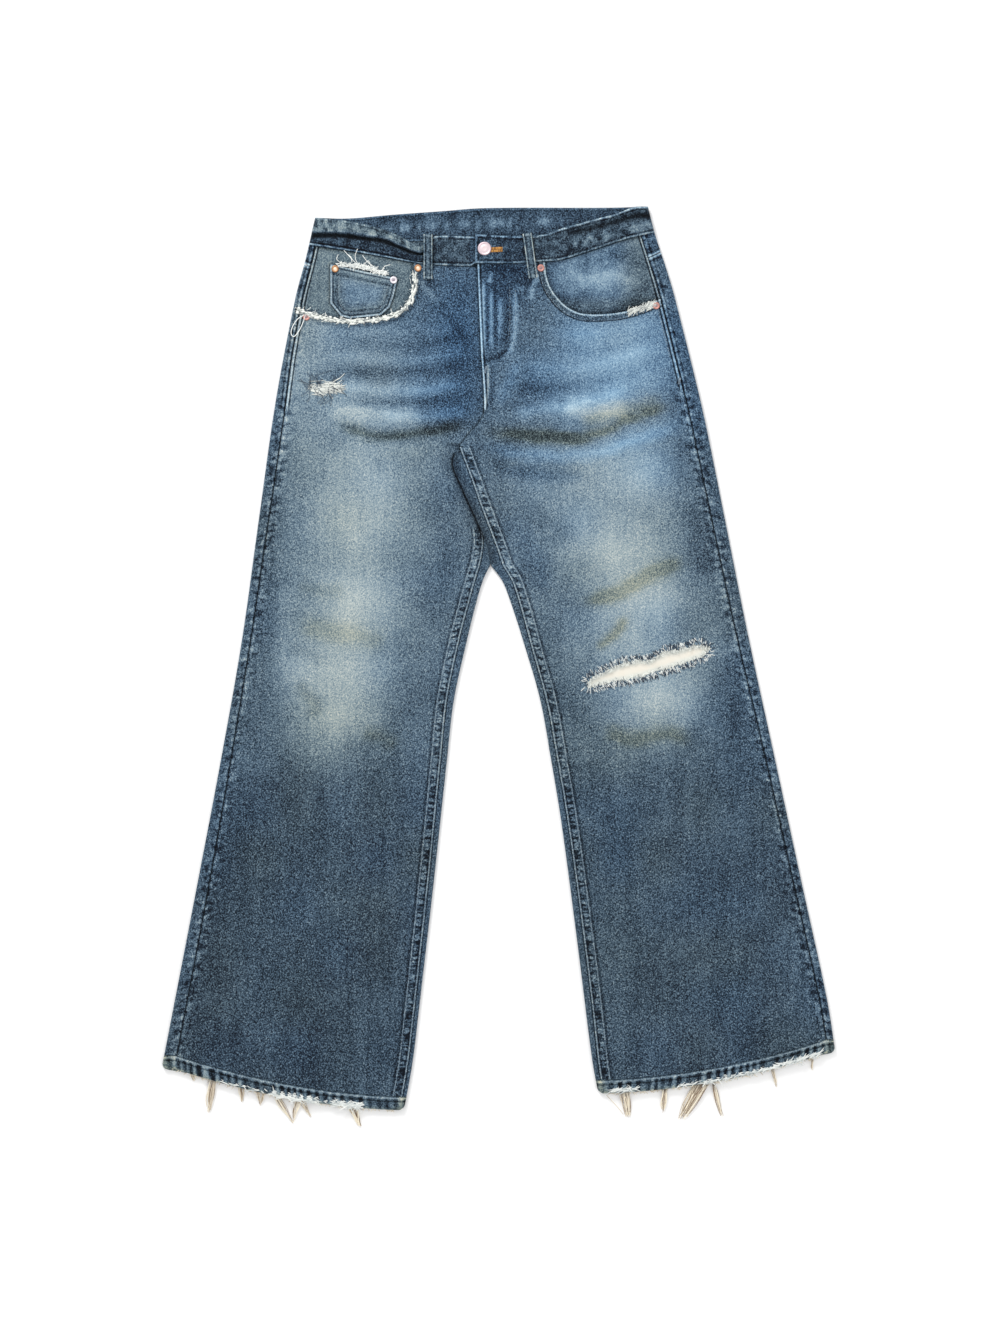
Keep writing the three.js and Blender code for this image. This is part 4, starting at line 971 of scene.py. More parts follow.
# The section of each row as x and z: the strip on top, half a circle round the outer fold, the
# bottom, and half a circle up round the inner fold to the strip that ends at the inseam.
def backSection(row):
    y, side = row["y"], row["leg"]["side"]
    p = backPanels
    low, high, lift = floorAt(y), foldTop(y), liftAt(y)
    start = row["seam"] + side * lie["seamGap"]
    r = (high - low) / 2
    t = np.linspace(0, 1, p["strip"])[None, :]
    foldX = row["edge"] - side * r
    stripX = mix(start, foldX, t)
    stripZ = mix(faceZ(row, start) + 0 * t, high, t**1.5)
    a = np.linspace(np.pi / 2, -np.pi / 2, p["arc"] + 2)[None, 1:]
    arcX, arcZ = row["edge"] - side * r * (1 - np.cos(a)), (low + high) / 2 + r * np.sin(a)
    flap = (y > lie["crotch"]) & (side > 0)
    base = np.where(flap, low + lift, low)
    flapPeak = np.where(flap, np.maximum(base + 3.4, faceZ(row, row["tuck"])), low + 2.9)
    peak = np.where(y < lie["crotch"], high, flapPeak)
    rIn = (peak - base) / 2
    arcStart = row["tuck"] + side * rIn
    turn = np.where(flap, np.maximum(centreBack(y) + lie["seamGap"], arcStart + 1.0), arcStart + side * 5)
    u = np.linspace(0, 1, p["bottom"] + 1)[None, 1:]
    bottomX, bottomZ = mix(arcX[:, -1:], turn, u), low + 0 * u
    v = np.linspace(0, 1, p["under"] + 1)[None, 1:]
    underX, underZ = mix(turn, arcStart, v), base + 0 * v
    b = np.linspace(-np.pi / 2, np.pi / 2, p["arc"] + 1)[None, 1:]
    inX, inZ = row["tuck"] + side * rIn * (1 - np.cos(b)), (base + peak) / 2 + rIn * np.sin(b)
    end = row["inner"] - side * lie["seamGap"]
    w = np.linspace(0, 1, p["inStrip"] + 1)[None, 1:]
    endX, endZ = mix(inX[:, -1:], end, w), mix(peak, faceZ(row, end), w)
    x = np.concatenate([stripX, arcX, bottomX, underX, inX, endX], 1)
    z = np.concatenate([stripZ, arcZ, bottomZ, underZ, inZ, endZ], 1)
    firstTail = p["strip"] + p["arc"] + 1 + p["bottom"]
    tail = x.shape[1] - firstTail
    centre = centreBack(y) + side * lie["seamGap"]
    toCentre = mix(centre + side * 6, centre, np.linspace(0, 1, tail + 1)[None, 1:])
    overX = np.concatenate([stripX, arcX, mix(arcX[:, -1:], centre + side * 6, u), toCentre], 1)
    overZ = np.concatenate([stripZ, arcZ, bottomZ, low + np.zeros((1, tail))], 1)
    above = y > lie["fourWay"]
    return np.where(above, overX, x), np.where(above, overZ, z), firstTail


# Places the sections. amount shifts a row down the leg, by the slant of the yoke seam.
def backPoints(leg, rows, amount):
    row = rowOf(leg, rows)
    x, z, firstTail = backSection(row)
    share = np.clip((foldTop(rows) - z) / (foldTop(rows) - floorAt(rows)), 0, 1)
    over = np.clip((x - row["edge"]) / (centreBack(rows) - row["edge"]), 0, 1)
    down = amount * (0.3 + mix(backPanels["yokeSide"], backPanels["yokeCentre"], over))
    lowered = row["outerY"] - down
    edgeMove = leg["fold"](lowered) - row["edge"]
    seamMove = leg["fold"](lowered) - leg["side"] * leg["outInset"](lowered) - row["seam"]
    column = np.arange(x.shape[1])[None, :]
    top = column < backPanels["strip"]
    t = np.clip(column / (backPanels["strip"] - 1), 0, 1)
    move = np.where(top, mix(seamMove, edgeMove, t),
                    np.where(column < backPanels["strip"] + backPanels["arc"] + 1, edgeMove, 0))
    y = rowY(row, x, share) - down
    return row, x + move, y, z, share, column, firstTail


# share runs from 0 on top to 1 under, and seamGap is the distance from the yoke's seam.
def backCloth(leg, name, rows, amount, node, seamGap):
    row, x, y, z, share, column, firstTail = backPoints(leg, rows, amount)
    side = leg["side"]
    onTop = (share < 0.5) | (column >= firstTail + backPanels["under"] + backPanels["arc"] // 2)
    outer = column < backPanels["strip"] + 3
    seamX = leg["fold"](y) - side * leg["outInset"](y)
    dOut = np.where(outer, -np.minimum(np.abs(x - seamX), np.abs(x - row["seam"]) + 4 * amount), -99)
    low = row["y"] < lie["fourWay"]
    inStrip = (column >= firstTail + backPanels["under"]) & low
    dIn = np.where(inStrip, -np.abs(x - row["inner"]), -99)
    fadeTop, warmTop = topWearAndShade(leg, x, y)
    fadeBack, warmBack = backWear(x, y)
    fade = np.where(onTop, 0.27 + 0.25 * (fadeTop - 0.27), fadeBack)
    fade = fade + 0.07 * bell(share - 0.3, 0.25) * (outer | (dIn > -30))
    warm = np.where(onTop, warmTop - 0.1, warmBack)
    shade = 0.10 * onTop + 0 * x
    z = z + np.where(outer, 0.5 * pucker(-dOut, y, 11.0, 6, 26), 0) * (share < 0.4) * ease(0.5, 3, -dOut)
    z = z + 0.3 * np.where(dIn > -40, pucker(-dIn, y, 8.0, 6, 28), 0) * (share < 0.4)
    z = z - 0.5 * bell(dOut, 1.5) - 0.4 * bell(dIn, 1.5)
    if side > 0:  # where the thigh lies over the other: a heavy felled edge, dark towards the fold
        over = inStrip & (row["y"] > lie["crotch"])
        z = z + 0.5 * ease(14, 4, -dIn) * over
        # painted shade darkening the strip towards the fold
        shade = shade + 0.45 * over * bell(np.maximum(x - row["tuck"], 0), 9)
    below = np.all(rows[1:] <= lie["fourWay"], axis=1) | np.all(rows[:-1] > lie["fourWay"], axis=1)
    keep = (below[:, None] | (np.arange(x.shape[1] - 1)[None, :] < firstTail - 1))
    hip = doubledAt(side, y)
    obj = clothPiece(name, vec(x, y, z), panelDenim,
                     {"wearAndShade": vec(fade, warm, shade), "seams": vec(dOut, dIn, -y),
                      "edges": vec(seamGap + 0 * x, 0.8, 4.5),
                      "lines": vec(0.5 * hip, 1.0 * low, 1.2 * outer)}, keep=keep)
    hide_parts(node)
    return obj


backs, yokes = {}, {}
for leg in (rightLeg, leftLeg):
    name = leg["name"]
    rows = rowsBetween(leg["waistY"][1] - lie["waistSeam"], leg["hemY"][1] + lie["hemDepth"]
                       + lie["seamGap"], lie["rowStep"])
    settle = 1 - ease(0, 0.2, rowOf(leg, rows)["f"])
    backs[name] = backCloth(leg, f"backPanel_{name}", rows, settle, f"back_{name}", rows[0] - rows)
    top, drop = np.full((16, 1), leg["waistY"][1] - 0.1), np.linspace(0, 0.985, 16)[:, None]
    yokes[name] = backCloth(leg, f"yoke_{name}", top, drop, f"yoke_{name}",
                            (1 - drop) * backPanels["yokeSide"])
print("back panels and yokes made")

# Hems: flattened rings, turned up inside, with roping along the edge.
hems = {"wall": 2.2, "rise": 0.7, "rope": 0.4, "pitch": 10.5, "corner": 7.0, "across": 150}


# Roping leans and wanders along the hem. The corners are quarter circles.
def hemRing(leg):
    side, name, h = leg["side"], leg["name"], hems
    edge = leg["hemY"][1]
    v = np.concatenate([np.linspace(0, 0.55, 8), np.linspace(0.6, 1, 9)])[:, None]
    rows = mix(edge + lie["hemDepth"] - lie["seamGap"], edge, v)
    row = rowOf(leg, rows)
    down = v * lie["hemDepth"]
    turnIn = np.clip(down - lie["hemDepth"] + h["corner"], 0, h["corner"] - 0.4)
    corner = h["corner"] - np.sqrt(h["corner"] ** 2 - turnIn**2)
    outFold, inFold = row["edge"] - side * corner, leg["innerFold"](rows) + side * corner
    high = lie["legTop"] + h["rise"] - 1.2 * ease(0.8, 1, v)
    r = high / 2
    a = np.linspace(np.pi / 2, -np.pi / 2, 9)[None, :]
    outX, outZ = outFold - side * r * (1 - np.cos(a)), r + r * np.sin(a)
    inX, inZ = inFold + side * r * (1 - np.cos(a)), r - r * np.sin(a)
    botX = mix(outX[:, -1:], inX[:, :1], np.linspace(0, 1, 24)[None, 1:-1])
    topX = mix(inX[:, -1:], outX[:, :1], np.linspace(0, 1, h["across"])[None, 1:-1])
    across = np.clip((topX - outFold) / (inFold - outFold), 0, 1)
    topZ = high + lie["legCrown"] * np.sin(np.pi * across) ** 0.7
    x = np.concatenate([outX, botX, inX, topX], 1)
    z = np.concatenate([outZ, 0 * botX, inZ, topZ], 1)
    share = np.clip(1 - z / high, 0, 1)
    y = rowY(row, x, share)
    phase = 2 * np.pi * (x + 0.08 * down * side) / h["pitch"] + 3.4 * softNoise(x, 0, 27, 9, 41)
    ridge = np.clip(1.5 * np.sin(phase), -1, 1) * (0.65 + 0.5 * softNoise(x, 0, 13, 9, 42))
    inBand = ease(1.5, 4, down)
    z = z + np.where(share < 0.3, h["rope"] * ridge * inBand - 0.5 * bell(down, 1.4), 0)
    fade, warm = topWearAndShade(leg, x, y)
    fade = (0.27 + 0.3 * (fade - 0.25) + 0.34 * ridge * inBand * (share < 0.4)
            * (0.8 + 0.5 * softNoise(x, 0, 16, 9, 45)) + 0.12 * softNoise(x, y, 4, 5, 43))
    fade = fade + 0.22 * ease(13, 17, down) * (1 + 0.5 * softNoise(x, 0, 9, 9, 46))
    for seamX in (row["seam"], row["inner"]):
        fade = (fade + 0.24 * np.exp(-((x - seamX + side * 4 * np.sign(seamX - row["inner"])) / 4.5) ** 4)
                * (share < 0.4))
    foldGap = np.minimum(np.abs(x - outFold), np.abs(x - inFold))
    warm = warm + 0.15 + 0.5 * ease(12, 17, down) + 1.2 * bell(foldGap, 9)
    shade = 0.5 * bell(down, 1.2) + 0.3 * np.clip(-ridge, 0, 1) * inBand * (share < 0.4)
    edges = vec(np.abs(down - 2.4) + 1.1 + 0 * x, 0.8 + 0.3 * softNoise(x, y, 3, 20, 44), 5.0)
    obj = clothPiece(f"hem_{name}", vec(x, y, z), trimDenim,
                     {"wearAndShade": vec(fade, warm, shade), "seams": vec(99, 99, x), "edges": edges},
                     wall=h["wall"], wrap=True)
    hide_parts(f"hem_{name}")
    return obj


hemRings = {leg["name"]: hemRing(leg) for leg in (rightLeg, leftLeg)}
print("hems made")

# Pocket facings, coin pocket, fly facing and knee backing: patches that follow the top face.
patchStep = 1.8
coinOutline = np.array([(-210, 502), (-170, 493.5), (-126, 484), (-131, 462), (-136, 448), (-147, 438),
                        (-186, 434), (-197, 437), (-210, 453)], float)


# A patch cut to an outline, at a height over the top face. The function it is given returns its wear
# and painted shade, its seams and its edges.
def patch(name, leg, outline, height, material, wearAndShadeAt, node, step=patchStep):
    (x0, y0), (x1, y1) = outline.min(0) - step, outline.max(0) + step
    x, y = np.meshgrid(np.arange(x0, x1 + step, step), np.arange(y1, y0 - step, -step))
    x, y, keep = trim(x, y, outline, keepInside=True)
    row = rowThrough(leg, x, y)
    z = faceZ(row, x) + relief(row, x, y, creaseSum(x, y)[2]) + height
    wearAndShade, seams, edges = wearAndShadeAt(x, y)
    obj = clothPiece(name, vec(x, y, z), material,
                     {"wearAndShade": wearAndShade, "seams": seams, "edges": edges, "tone": wearAndShade,
                      "lines": vec(1, 0, 0 * x)}, keep=keep)
    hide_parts(node)
    return obj


# The facing runs on under the front by a margin, and stops at the outseam and the waist seam.
def facingOutline(leg, mouth, margin):
    side = leg["side"]
    corner = np.array([leg["fold"](500) - side * 12, 500.0])
    seamX = lambda y: leg["fold"](y) - side * (leg["outInset"](y) + 1.6)
    keep = ((mouth[:, 1] < leg["waistLine"](mouth[:, 0]) - 4)
            & ((mouth[:, 0] - seamX(mouth[:, 1])) * side < -4))
    m = mouth[keep]
    away = m - corner
    grown = m + unit(away) * margin
    sideY = np.linspace(grown[-1, 1], leg["waistLine"](seamX(520)) - 1, 8)
    acrossX = np.linspace(seamX(sideY[-1]), grown[0, 0], 12)[1:]
    return np.concatenate([grown, np.stack([seamX(sideY), sideY], 1),
                           np.stack([acrossX, leg["waistLine"](acrossX) - 1], 1)])


def facingWearAndShade(leg, base, warmth):
    def wearAndShadeAt(x, y):
        gap = nearLine(x, y, mouths[leg["name"]])[0]
        inFacing = inside(x, y, mouthArea(mouths[leg["name"]]))
        waistGap = leg["waistLine"](x) - y
        fade = base + 0.05 * softNoise(x, y, 18, 14, 51) - 0.10 * bell(gap, 9)
        # painted shade under the edge of the mouth and under the waistband
        shade = 0.5 * bell(gap, 3.2) + 0.4 * bell(waistGap, 4)
        if leg["side"] > 0:  # palest along the middle of the opening, olive towards its outer arc
            fade = (fade + 0.30 * np.exp(-((x - 128) / 42) ** 2 - ((y - 485) / 13) ** 2)
                    - 0.08 * ease(470, 452, y))
            fade = (fade + 0.07 * softNoise(x, y, 9, 5, 54)
                    - 0.12 * bell(np.hypot((x - 135), 1.3 * (y - 478)) - 48, 8) * ease(120, 160, x))
            warm = warmth + 0.7 * ease(140, 175, x) + 0.5 * ease(465, 450, y)
        else:
            # painted shadow round the raised edge of the coin pocket
            coinGap = nearLine(x, y, closed(coinOutline))[0]
            shade = shade + 0.6 * bell(coinGap, 2.2)
            warm = warmth + 0 * x
        dOut = (leg["fold"](y) - x) * leg["side"] - leg["outInset"](y)
        return vec(fade, warm, shade * inFacing + 0.3 * ~inFacing), vec(dOut, 99, x), vec(99, 0, 99 + 0 * x)
    return wearAndShadeAt


def coinWear(x, y):
    edge = nearLine(x, y, closed(coinOutline))[0]
    topEdge = nearLine(x, y, [(-210, 502), (-126, 484)])[0]
    fade = 0.37 + 0.10 * ease(10, 24, edge) + 0.06 * softNoise(x, y, 9, 9, 52)
    fade = fade + 0.16 * bell(topEdge - 5, 3.5) - 0.20 * bell(topEdge - 10.5, 1.6)
    fade = fade + 0.12 * bell(topEdge - 13.5, 1.5) - 0.16 * bell(edge - 8.5, 1.5) * (topEdge > 12)
    fade = fade + 0.12 * bell(edge - 11, 1.3) * (topEdge > 12)
    warm = 0.3 * bell(edge - 9, 5) - 0.3 * ease(8, 26, edge)
    return vec(fade, warm, 0), vec(99, 99, x), vec(np.minimum(edge, topEdge), 0.85, 3.4)


def creamWear(x, y):
    core = nearLine(x, y, closed(ripOutline(0, 0)))[0] * inside(x, y, ripOutline(0, 0))
    tone = 0.2 + 0.55 * ease(1, 6, core) + 0.12 * softNoise(x, y, 3, 9, 53)
    return vec(tone, 1.0, 0), vec(99, 99, x), vec(99, 0, 99 + 0 * x)


for leg, base, warmth in ((rightLeg, 0.43, 0.45), (leftLeg, 0.38, -0.4)):
    name = leg["name"]
    patch(f"pocketFacing_{name}", leg, facingOutline(leg, mouths[name], 8), -lie["layer"],
            trimDenim, facingWearAndShade(leg, base, warmth), f"pocket_facing_{name}", step=2.2)
coinPocket = patch("coinPocket", rightLeg, coinOutline, 0.1, trimDenim, coinWear,
                   "coin_pocket")
flyOutline = np.array([(17, 501), (17, 407), (12, 393), (2, 385), (-12, 382), (-21.5, 382), (-21.8, 400),
                       (-25, 460), (-26, 501)], float)
flyFacing = patch("flyFacing", leftLeg, flyOutline, -lie["layer"] - 0.2, trimDenim,
                  lambda x, y: (vec(0.3, -0.3, 0 * x), vec(99, 99, y), vec(99, 0, 99 + 0 * x)),
                  "fly_facing", step=4)
kneeBacking = patch("kneeBacking", leftLeg, ripOutline(9, 0, 48), -lie["layer"] - 0.1, creamCloth, creamWear,
                    "knee_backing", step=2.0)
print("patches made")

# Waistband: one strip from the button end, round the back, to the buttonhole end.
band = {
    "wall": 2.2, "low": 1.9, "high": 9.0, "overlap": 2.7, "buttonEnd": -3, "holeEnd": -29, "deep": 38,
    "backTop": through((-229, 560), (-189, 559), (-129, 564), (-73, 568), (-18, 572), (139, 572.5),
                       (187, 574)),
    "rightTop": through((-229, 560), (-191, 556), (-153, 548), (-126, 538), (-104, 526), (-96, 524),
                        (-84, 535), (-70, 537.5), (-28, 536)),
    "leftTop": through((-29, 539), (30, 536.5), (57, 539), (77, 545.8), (116, 557), (144, 564), (169, 573),
                       (187, 574)),
    # how far up the band its lengthwise buckle lies, from the seam at 0 to the top edge at 1
    "rightBuckle": through((-232, 0.44), (-197, 0.56), (-172, 0.59), (-140, 0.66), (-127, 0.62), (-114, 0.60),
        (-95, 0.64)),
    "leftBuckle": through((60, 0.78), (116, 0.74), (188, 0.66)),
}


# u runs round the band and vv up it. A buckle is a bell-shaped trough with a lip above it.
def waistband():
    v = np.linspace(0, 1, 36)[:, None]
    low, high = band["low"], band["high"]
    r = (high - low) / 2
    foldR = rightLeg["fold"](mix(526, 560, v))
    foldL = leftLeg["fold"](mix(541, 574, v))
    a = np.linspace(np.pi / 2, -np.pi / 2, 9)[None, :]
    arcRX, arcLX = foldR + r * (1 - np.cos(a)), foldL - r * (1 - np.cos(a))[:, ::-1]
    arcZ = (low + high) / 2 + r * np.sin(a)
    rightX = mix(band["buttonEnd"], arcRX[:, :1], np.linspace(0, 1, 100)[None, :-1])
    backX = mix(arcRX[:, -1:], arcLX[:, :1], np.linspace(0, 1, 120)[None, 1:-1])
    leftX = mix(arcLX[:, -1:], band["holeEnd"] + 0 * v, np.linspace(0, 1, 100)[None, 1:])
    x = np.concatenate([rightX, arcRX, backX, arcLX, leftX], 1)
    onBack = np.concatenate([0 * rightX, 0 * v + 0.5 - 0.5 * np.sin(a), 0 * backX + 1,
                             0 * v + 0.5 + 0.5 * np.sin(a), 0 * leftX], 1)
    z = np.concatenate([0 * rightX + high, arcZ + 0 * v, 0 * backX + low,
                        arcZ[:, ::-1] + 0 * v, 0 * leftX + high], 1)
    onRight = np.arange(x.shape[1])[None, :] < rightX.shape[1] + 9
    underHole = mix(rightLeg["waistLine"](x), 503.3, ease(-36, -28, x))
    vv = v + 0 * x
    front = np.where(onRight, mix(underHole, band["rightTop"](x), vv),
                     mix(leftLeg["waistLine"](x), band["leftTop"](x), vv))
    y = mix(front, mix(backWaist(x), band["backTop"](x), vv), onBack)
    faceUp = 1 - onBack
    fromTop = (1 - vv) * band["deep"]
    offR, strongR = vv - band["rightBuckle"](x), ease(-84, -97, x) * faceUp * onRight
    wide = 0.085 + 0.02 * softNoise(x, 0, 14, 9, 67)
    trough = np.exp(-((offR + 0.09) / wide) ** 4)
    z = z + strongR * (1.6 * bell(offR - 0.2, 0.17) - 2.8 * trough)
    offL, strongL = vv - band["leftBuckle"](x), ease(70, 110, x) * faceUp * ~onRight
    troughL = bell(offL, 0.12)
    z = z + strongL * (0.7 * bell(offL + 0.3, 0.15) - 1.7 * troughL)
    ramp = band["overlap"] * (1 - ease(2, 24, x)) * faceUp * ~onRight
    z = z + ramp - 1.2 * faceUp * (bell(1 - vv, 0.03) + bell(vv, 0.03))
    z = (z + faceUp * (0.5 * softNoise(x, y, 22, 16, 61) + 0.25 * softNoise(x, y, 8, 9, 62)
                       + 0.3 * pucker(vv * 38, x, 8.0, 5, 63) + 0.3 * pucker(fromTop, x, 8.0, 5, 65)))
    blotch = softNoise(x, y, 6, 8, 68)
    fade = 0.19 + 0.06 * softNoise(x, y, 20, 12, 65) + 0.12 * blotch + 0.06 * softNoise(x, y, 3, 3, 72)
    fade = (fade + strongR * (0.20 * ease(0.0, 0.06, offR) + 0.14 * np.clip(blotch, -0.8, 1)
            * ease(0.0, 0.06, offR) - 0.06 * ease(0.02, -0.1, offR)))
    fade = fade + strongL * (0.22 * np.clip(0.7 + blotch, 0, 1.6) * bell(vv - 0.33, 0.16) - 0.08 * troughL)
    fade = fade + 0.10 * faceUp * (np.abs(x) < 86) * softNoise(x, y, 10, 6, 69)
    shade = 0.92 * strongR * trough + 0.08 * strongR * ease(-0.1, -0.3, offR) + 0.72 * strongL * troughL
    warm = np.where(strongR > 0.5, 0.5 * ease(0.0, 0.15, offR) - 0.1, 0.1 - 0.35 * (np.abs(x) < 36))
    worn = np.clip(1.6 * softNoise(x, 0, 5, 9, 70) + 0.2, 0, 1) * bell(fromTop - 19, 6)
    fade = np.where(onBack > 0.5, 0.19 + 0.09 * softNoise(x, y, 6, 14, 66) + 0.3 * worn, fade)
    warm = np.where(onBack > 0.5, -0.25, warm)
    endGap = np.where(~onRight & (onBack < 0.5), np.abs(x - band["holeEnd"]), 99)
    edge = np.minimum(np.minimum(vv * band["deep"], fromTop), endGap)
    strength = (np.where(onBack > 0.5, 0.25, 0.62 + 0.4 * softNoise(x, y, 7, 7, 71))
                * np.where(strongR > 0.3, np.where(vv > 0.5, 0.3, 1.5), 1))
    shade = shade * (1 - 0.8 * bell(vv * band["deep"] - 1, 1.8))
    # painted shadow on the band beside each belt loop
    for loopX in (-88, 39.5):  # dark beside the belt loops
        shade = shade + 0.6 * faceUp * bell(np.abs(x - loopX + 0.14 * (y - 512) * (loopX > 0)) - 5.5, 2.6)
    obj = clothPiece("waistband", vec(x, y, z), trimDenim,
                     {"wearAndShade": vec(fade, warm, shade), "seams": vec(edge + 4, 99, x),
                      "edges": vec(edge, strength, 4.0), "lines": vec(0, 0, 0.7 * faceUp)},
                     wall=band["wall"], sharp=50)
    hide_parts("waistband")
    return obj


waistbandPiece = waistband()
print("waistband made")

# Belt loops: short straps sewn at both ends, with turned edges.
loops = {"width": 11.0, "wall": 1.5, "length": 56, "leftAt": (39.5, 512.5), "leftTurn": math.radians(8)}


# A strap's face is low at its long edges and swells between its ends. Those under the back lie flat.
def beltLoop(name, centre, turn, profile, node, onFloor=False):
    w, length = loops["width"], loops["length"]
    s, t = np.meshgrid(np.linspace(-1, 1, 21), np.linspace(1, -1, 48))
    lx, ly = s * w / 2, t * length / 2
    x, y = placed(centre, turn, lx, ly)
    z = profile(ly) + loops["wall"] - 0.9 * np.abs(s) ** 6 - 0.5 * np.abs(t) ** 20
    z = z + 0.18 * np.sin(ly * 0.9 + 3 * s) * (np.abs(s) < 0.95) + 0.3 * bell(np.abs(s) - 0.78, 0.12)
    z = np.maximum(z, 1.5) if onFloor else z
    uneven = softNoise(x, y, 3, 4.5, 71)
    fade = (0.28 + 0.40 * ease(0.66, 0.86, np.abs(s)) * (0.9 + 0.6 * uneven)
            - 0.26 * bell(np.abs(s) - 0.55, 0.12))
    fade = fade + 0.08 * uneven + 0.10 * bell(s - 0.05, 0.2) + 0.2 * bell(np.abs(t) - 0.93, 0.05)
    shade = 0.25 * (np.abs(s) > 0.97) + 0.35 * bell(np.abs(t) - 0.84, 0.03)
    obj = clothPiece(name, vec(x, y, z), trimDenim,
                     {"wearAndShade": vec(fade - 0.12 * onFloor, 0.2, shade), "seams": vec(99, 99, y)}, wall=1.3,
                     sharp=50)
    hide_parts(node)
    return obj


# The front loops step down off the band's foot and swell over the band.
def frontStep(ly):
    step = band["high"] + 0.9 + 0.6 * ease(-16, -10, ly) - 1.0 * ease(-10, -16, ly)
    return step + 0.8 * np.cos(np.clip((ly - 8) / 22, -1, 1) * np.pi / 2)


loopPieces = {
    "front_right": beltLoop("beltLoop_frontRight", (-88, 511), 0.0, frontStep, "belt_loop_front_right"),
    "front_left": beltLoop("beltLoop_frontLeft", loops["leftAt"], loops["leftTurn"], frontStep,
        "belt_loop_front_left"),
}
for key, x in (("right", -150), ("centre", -16), ("left", 118)):
    centre = (x, float(band["backTop"](x)) - 30.5)
    loopPieces[f"back_{key}"] = beltLoop(f"beltLoop_back_{key}", centre, 0.0, lambda ly: 0 * ly + 0.1,
                                         f"belt_loop_back_{key}", onFloor=True)
print("belt loops made")

# Back pockets lie flat on the floor under the seat.
backPockets = {"halfTop": 76, "halfFoot": 63, "deep": 138, "point": 160, "top": 440}


def backPocket(leg):
    p, cx = backPockets, leg["side"] * 112 + 4
    outline = np.array([(cx - p["halfTop"], p["top"]), (cx - p["halfFoot"], p["top"] - p["deep"]),
                        (cx, p["top"] - p["point"]), (cx + p["halfFoot"], p["top"] - p["deep"]),
                        (cx + p["halfTop"], p["top"])], float)
    x, y = np.meshgrid(np.arange(cx - 80, cx + 81, 4.0),
                       np.arange(p["top"] + 4, p["top"] - p["point"] - 5, -4.0))
    x, y, keep = trim(x, y, outline, keepInside=True)
    gap = nearLine(x, y, closed(outline))[0]
    z = 1.45 - 0.25 * bell(gap, 1.5)
    fade = 0.40 + 0.14 * ease(4, 30, gap) + 0.16 * bell(gap, 2) + 0.04 * softNoise(x, y, 14, 14, 73)
    obj = clothPiece(f"backPocket_{leg['name']}", vec(x, y, z), trimDenim,
                     {"wearAndShade": vec(fade, 0, 0.2 * bell(gap - 9, 1)), "seams": vec(gap, 99, x + y)}, wall=1.2,
                     keep=keep)
    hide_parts(f"back_pocket_{leg['name']}")
    return obj


pocketPieces = {leg["name"]: backPocket(leg) for leg in (rightLeg, leftLeg)}
print("back pockets made")

# Metal: button and rivets, each a profile turned about its own axis.
metal = {"buttonSides": 64, "rivetSides": 32}


# Turns a profile of (radius, height) points about an upright axis at centre.
def turnedPiece(name, profile, centre, sides, material):
    p = np.array(profile, float)
    a = np.linspace(0, 2 * np.pi, sides, endpoint=False)[None, :]
    x, y = centre[0] + p[:, :1] * np.cos(a), centre[1] + p[:, :1] * np.sin(a)
    points = vec(x, y, centre[2] + p[:, 1:] + 0 * a).reshape(-1, 3)
    index = np.arange(len(p) * sides).reshape(len(p), sides)
    walls = np.stack([index[:-1], np.roll(index[:-1], -1, 1), np.roll(index[1:], -1, 1),
                      index[1:]], -1).reshape(-1, 4)
    middle = len(points)
    ends = [[centre[0], centre[1], centre[2] + p[k, 1]] for k in (0, -1)]
    points = np.concatenate([points, ends])
    ringA, ringB = index[0], index[-1]
    lids = ([(middle, b, a_) for a_, b in zip(ringA, np.roll(ringA, -1))]
            + [(middle + 1, a_, b) for a_, b in zip(ringB, np.roll(ringB, -1))])
    ring = np.concatenate([np.repeat(p[:, 0] / p[:, 0].max(), sides), [0.0, 0.0]])
    faces = walls.tolist() + [tuple(int(i) for i in t) for t in lids]
    return newObject(name, points, faces, {"ring": vec(ring, 0, 0)}, material, 50)


bx, by = lie["buttonAt"]
headZ = band["high"] + 0.3 + band["overlap"] + 0.3
buttonProfile = [(3.0, band["high"] + 0.3 - headZ), (3.0, 0), (7.6, 0), (8.3, 0.4), (8.5, 1.0), (8.4, 1.6),
                 (7.9, 2.1), (7.3, 2.3), (6.7, 2.15), (6.3, 1.75), (5.9, 1.6), (5.3, 1.7), (3.6, 2.1),
                 (2.4, 2.3), (1.9, 2.15), (1.2, 2.1), (0.5, 2.15)]
button = turnedPiece("waistButton", buttonProfile, (bx, by, headZ), metal["buttonSides"], roseMetal)
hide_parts("button")
rivetProfile = [(4.5, -0.5), (4.6, 0.1), (4.5, 0.7), (4.1, 1.15), (3.5, 1.35), (2.9, 1.25), (2.4, 0.95),
                (1.9, 0.85), (1.4, 1.0), (0.9, 1.15), (0.4, 1.2)]
rivetSpots = {
    "coin_outer": (-204, 496), "coin_inner": (-131, 482), "right_pocket_inner": (-100.5, 497),
    "right_pocket_outer": (-240, 436), "left_pocket_inner": (53, 497), "left_pocket_outer": (197, 450),
}
for key, (rx, ry) in rivetSpots.items():
    z = float(topAt(np.array([rx]), np.array([ry]))[0]) + (0.6 if "coin" in key else 0.5)
    pink = "left" in key or key == "right_pocket_outer"
    plating = paleMetal if key == "coin_inner" else pinkMetal if pink else copperMetal
    rivet = turnedPiece(f"rivet_{key}", rivetProfile, (rx, ry, z), metal["rivetSides"], plating)
    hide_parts(f"rivet_{key}")
print("button and rivets made")

# Sewing: stitches, bar tacks and the buttonhole.
sewing = {"pitch": 3.4, "length": 2.4, "radius": 0.36, "seed": 5}
rng = np.random.default_rng(sewing["seed"])


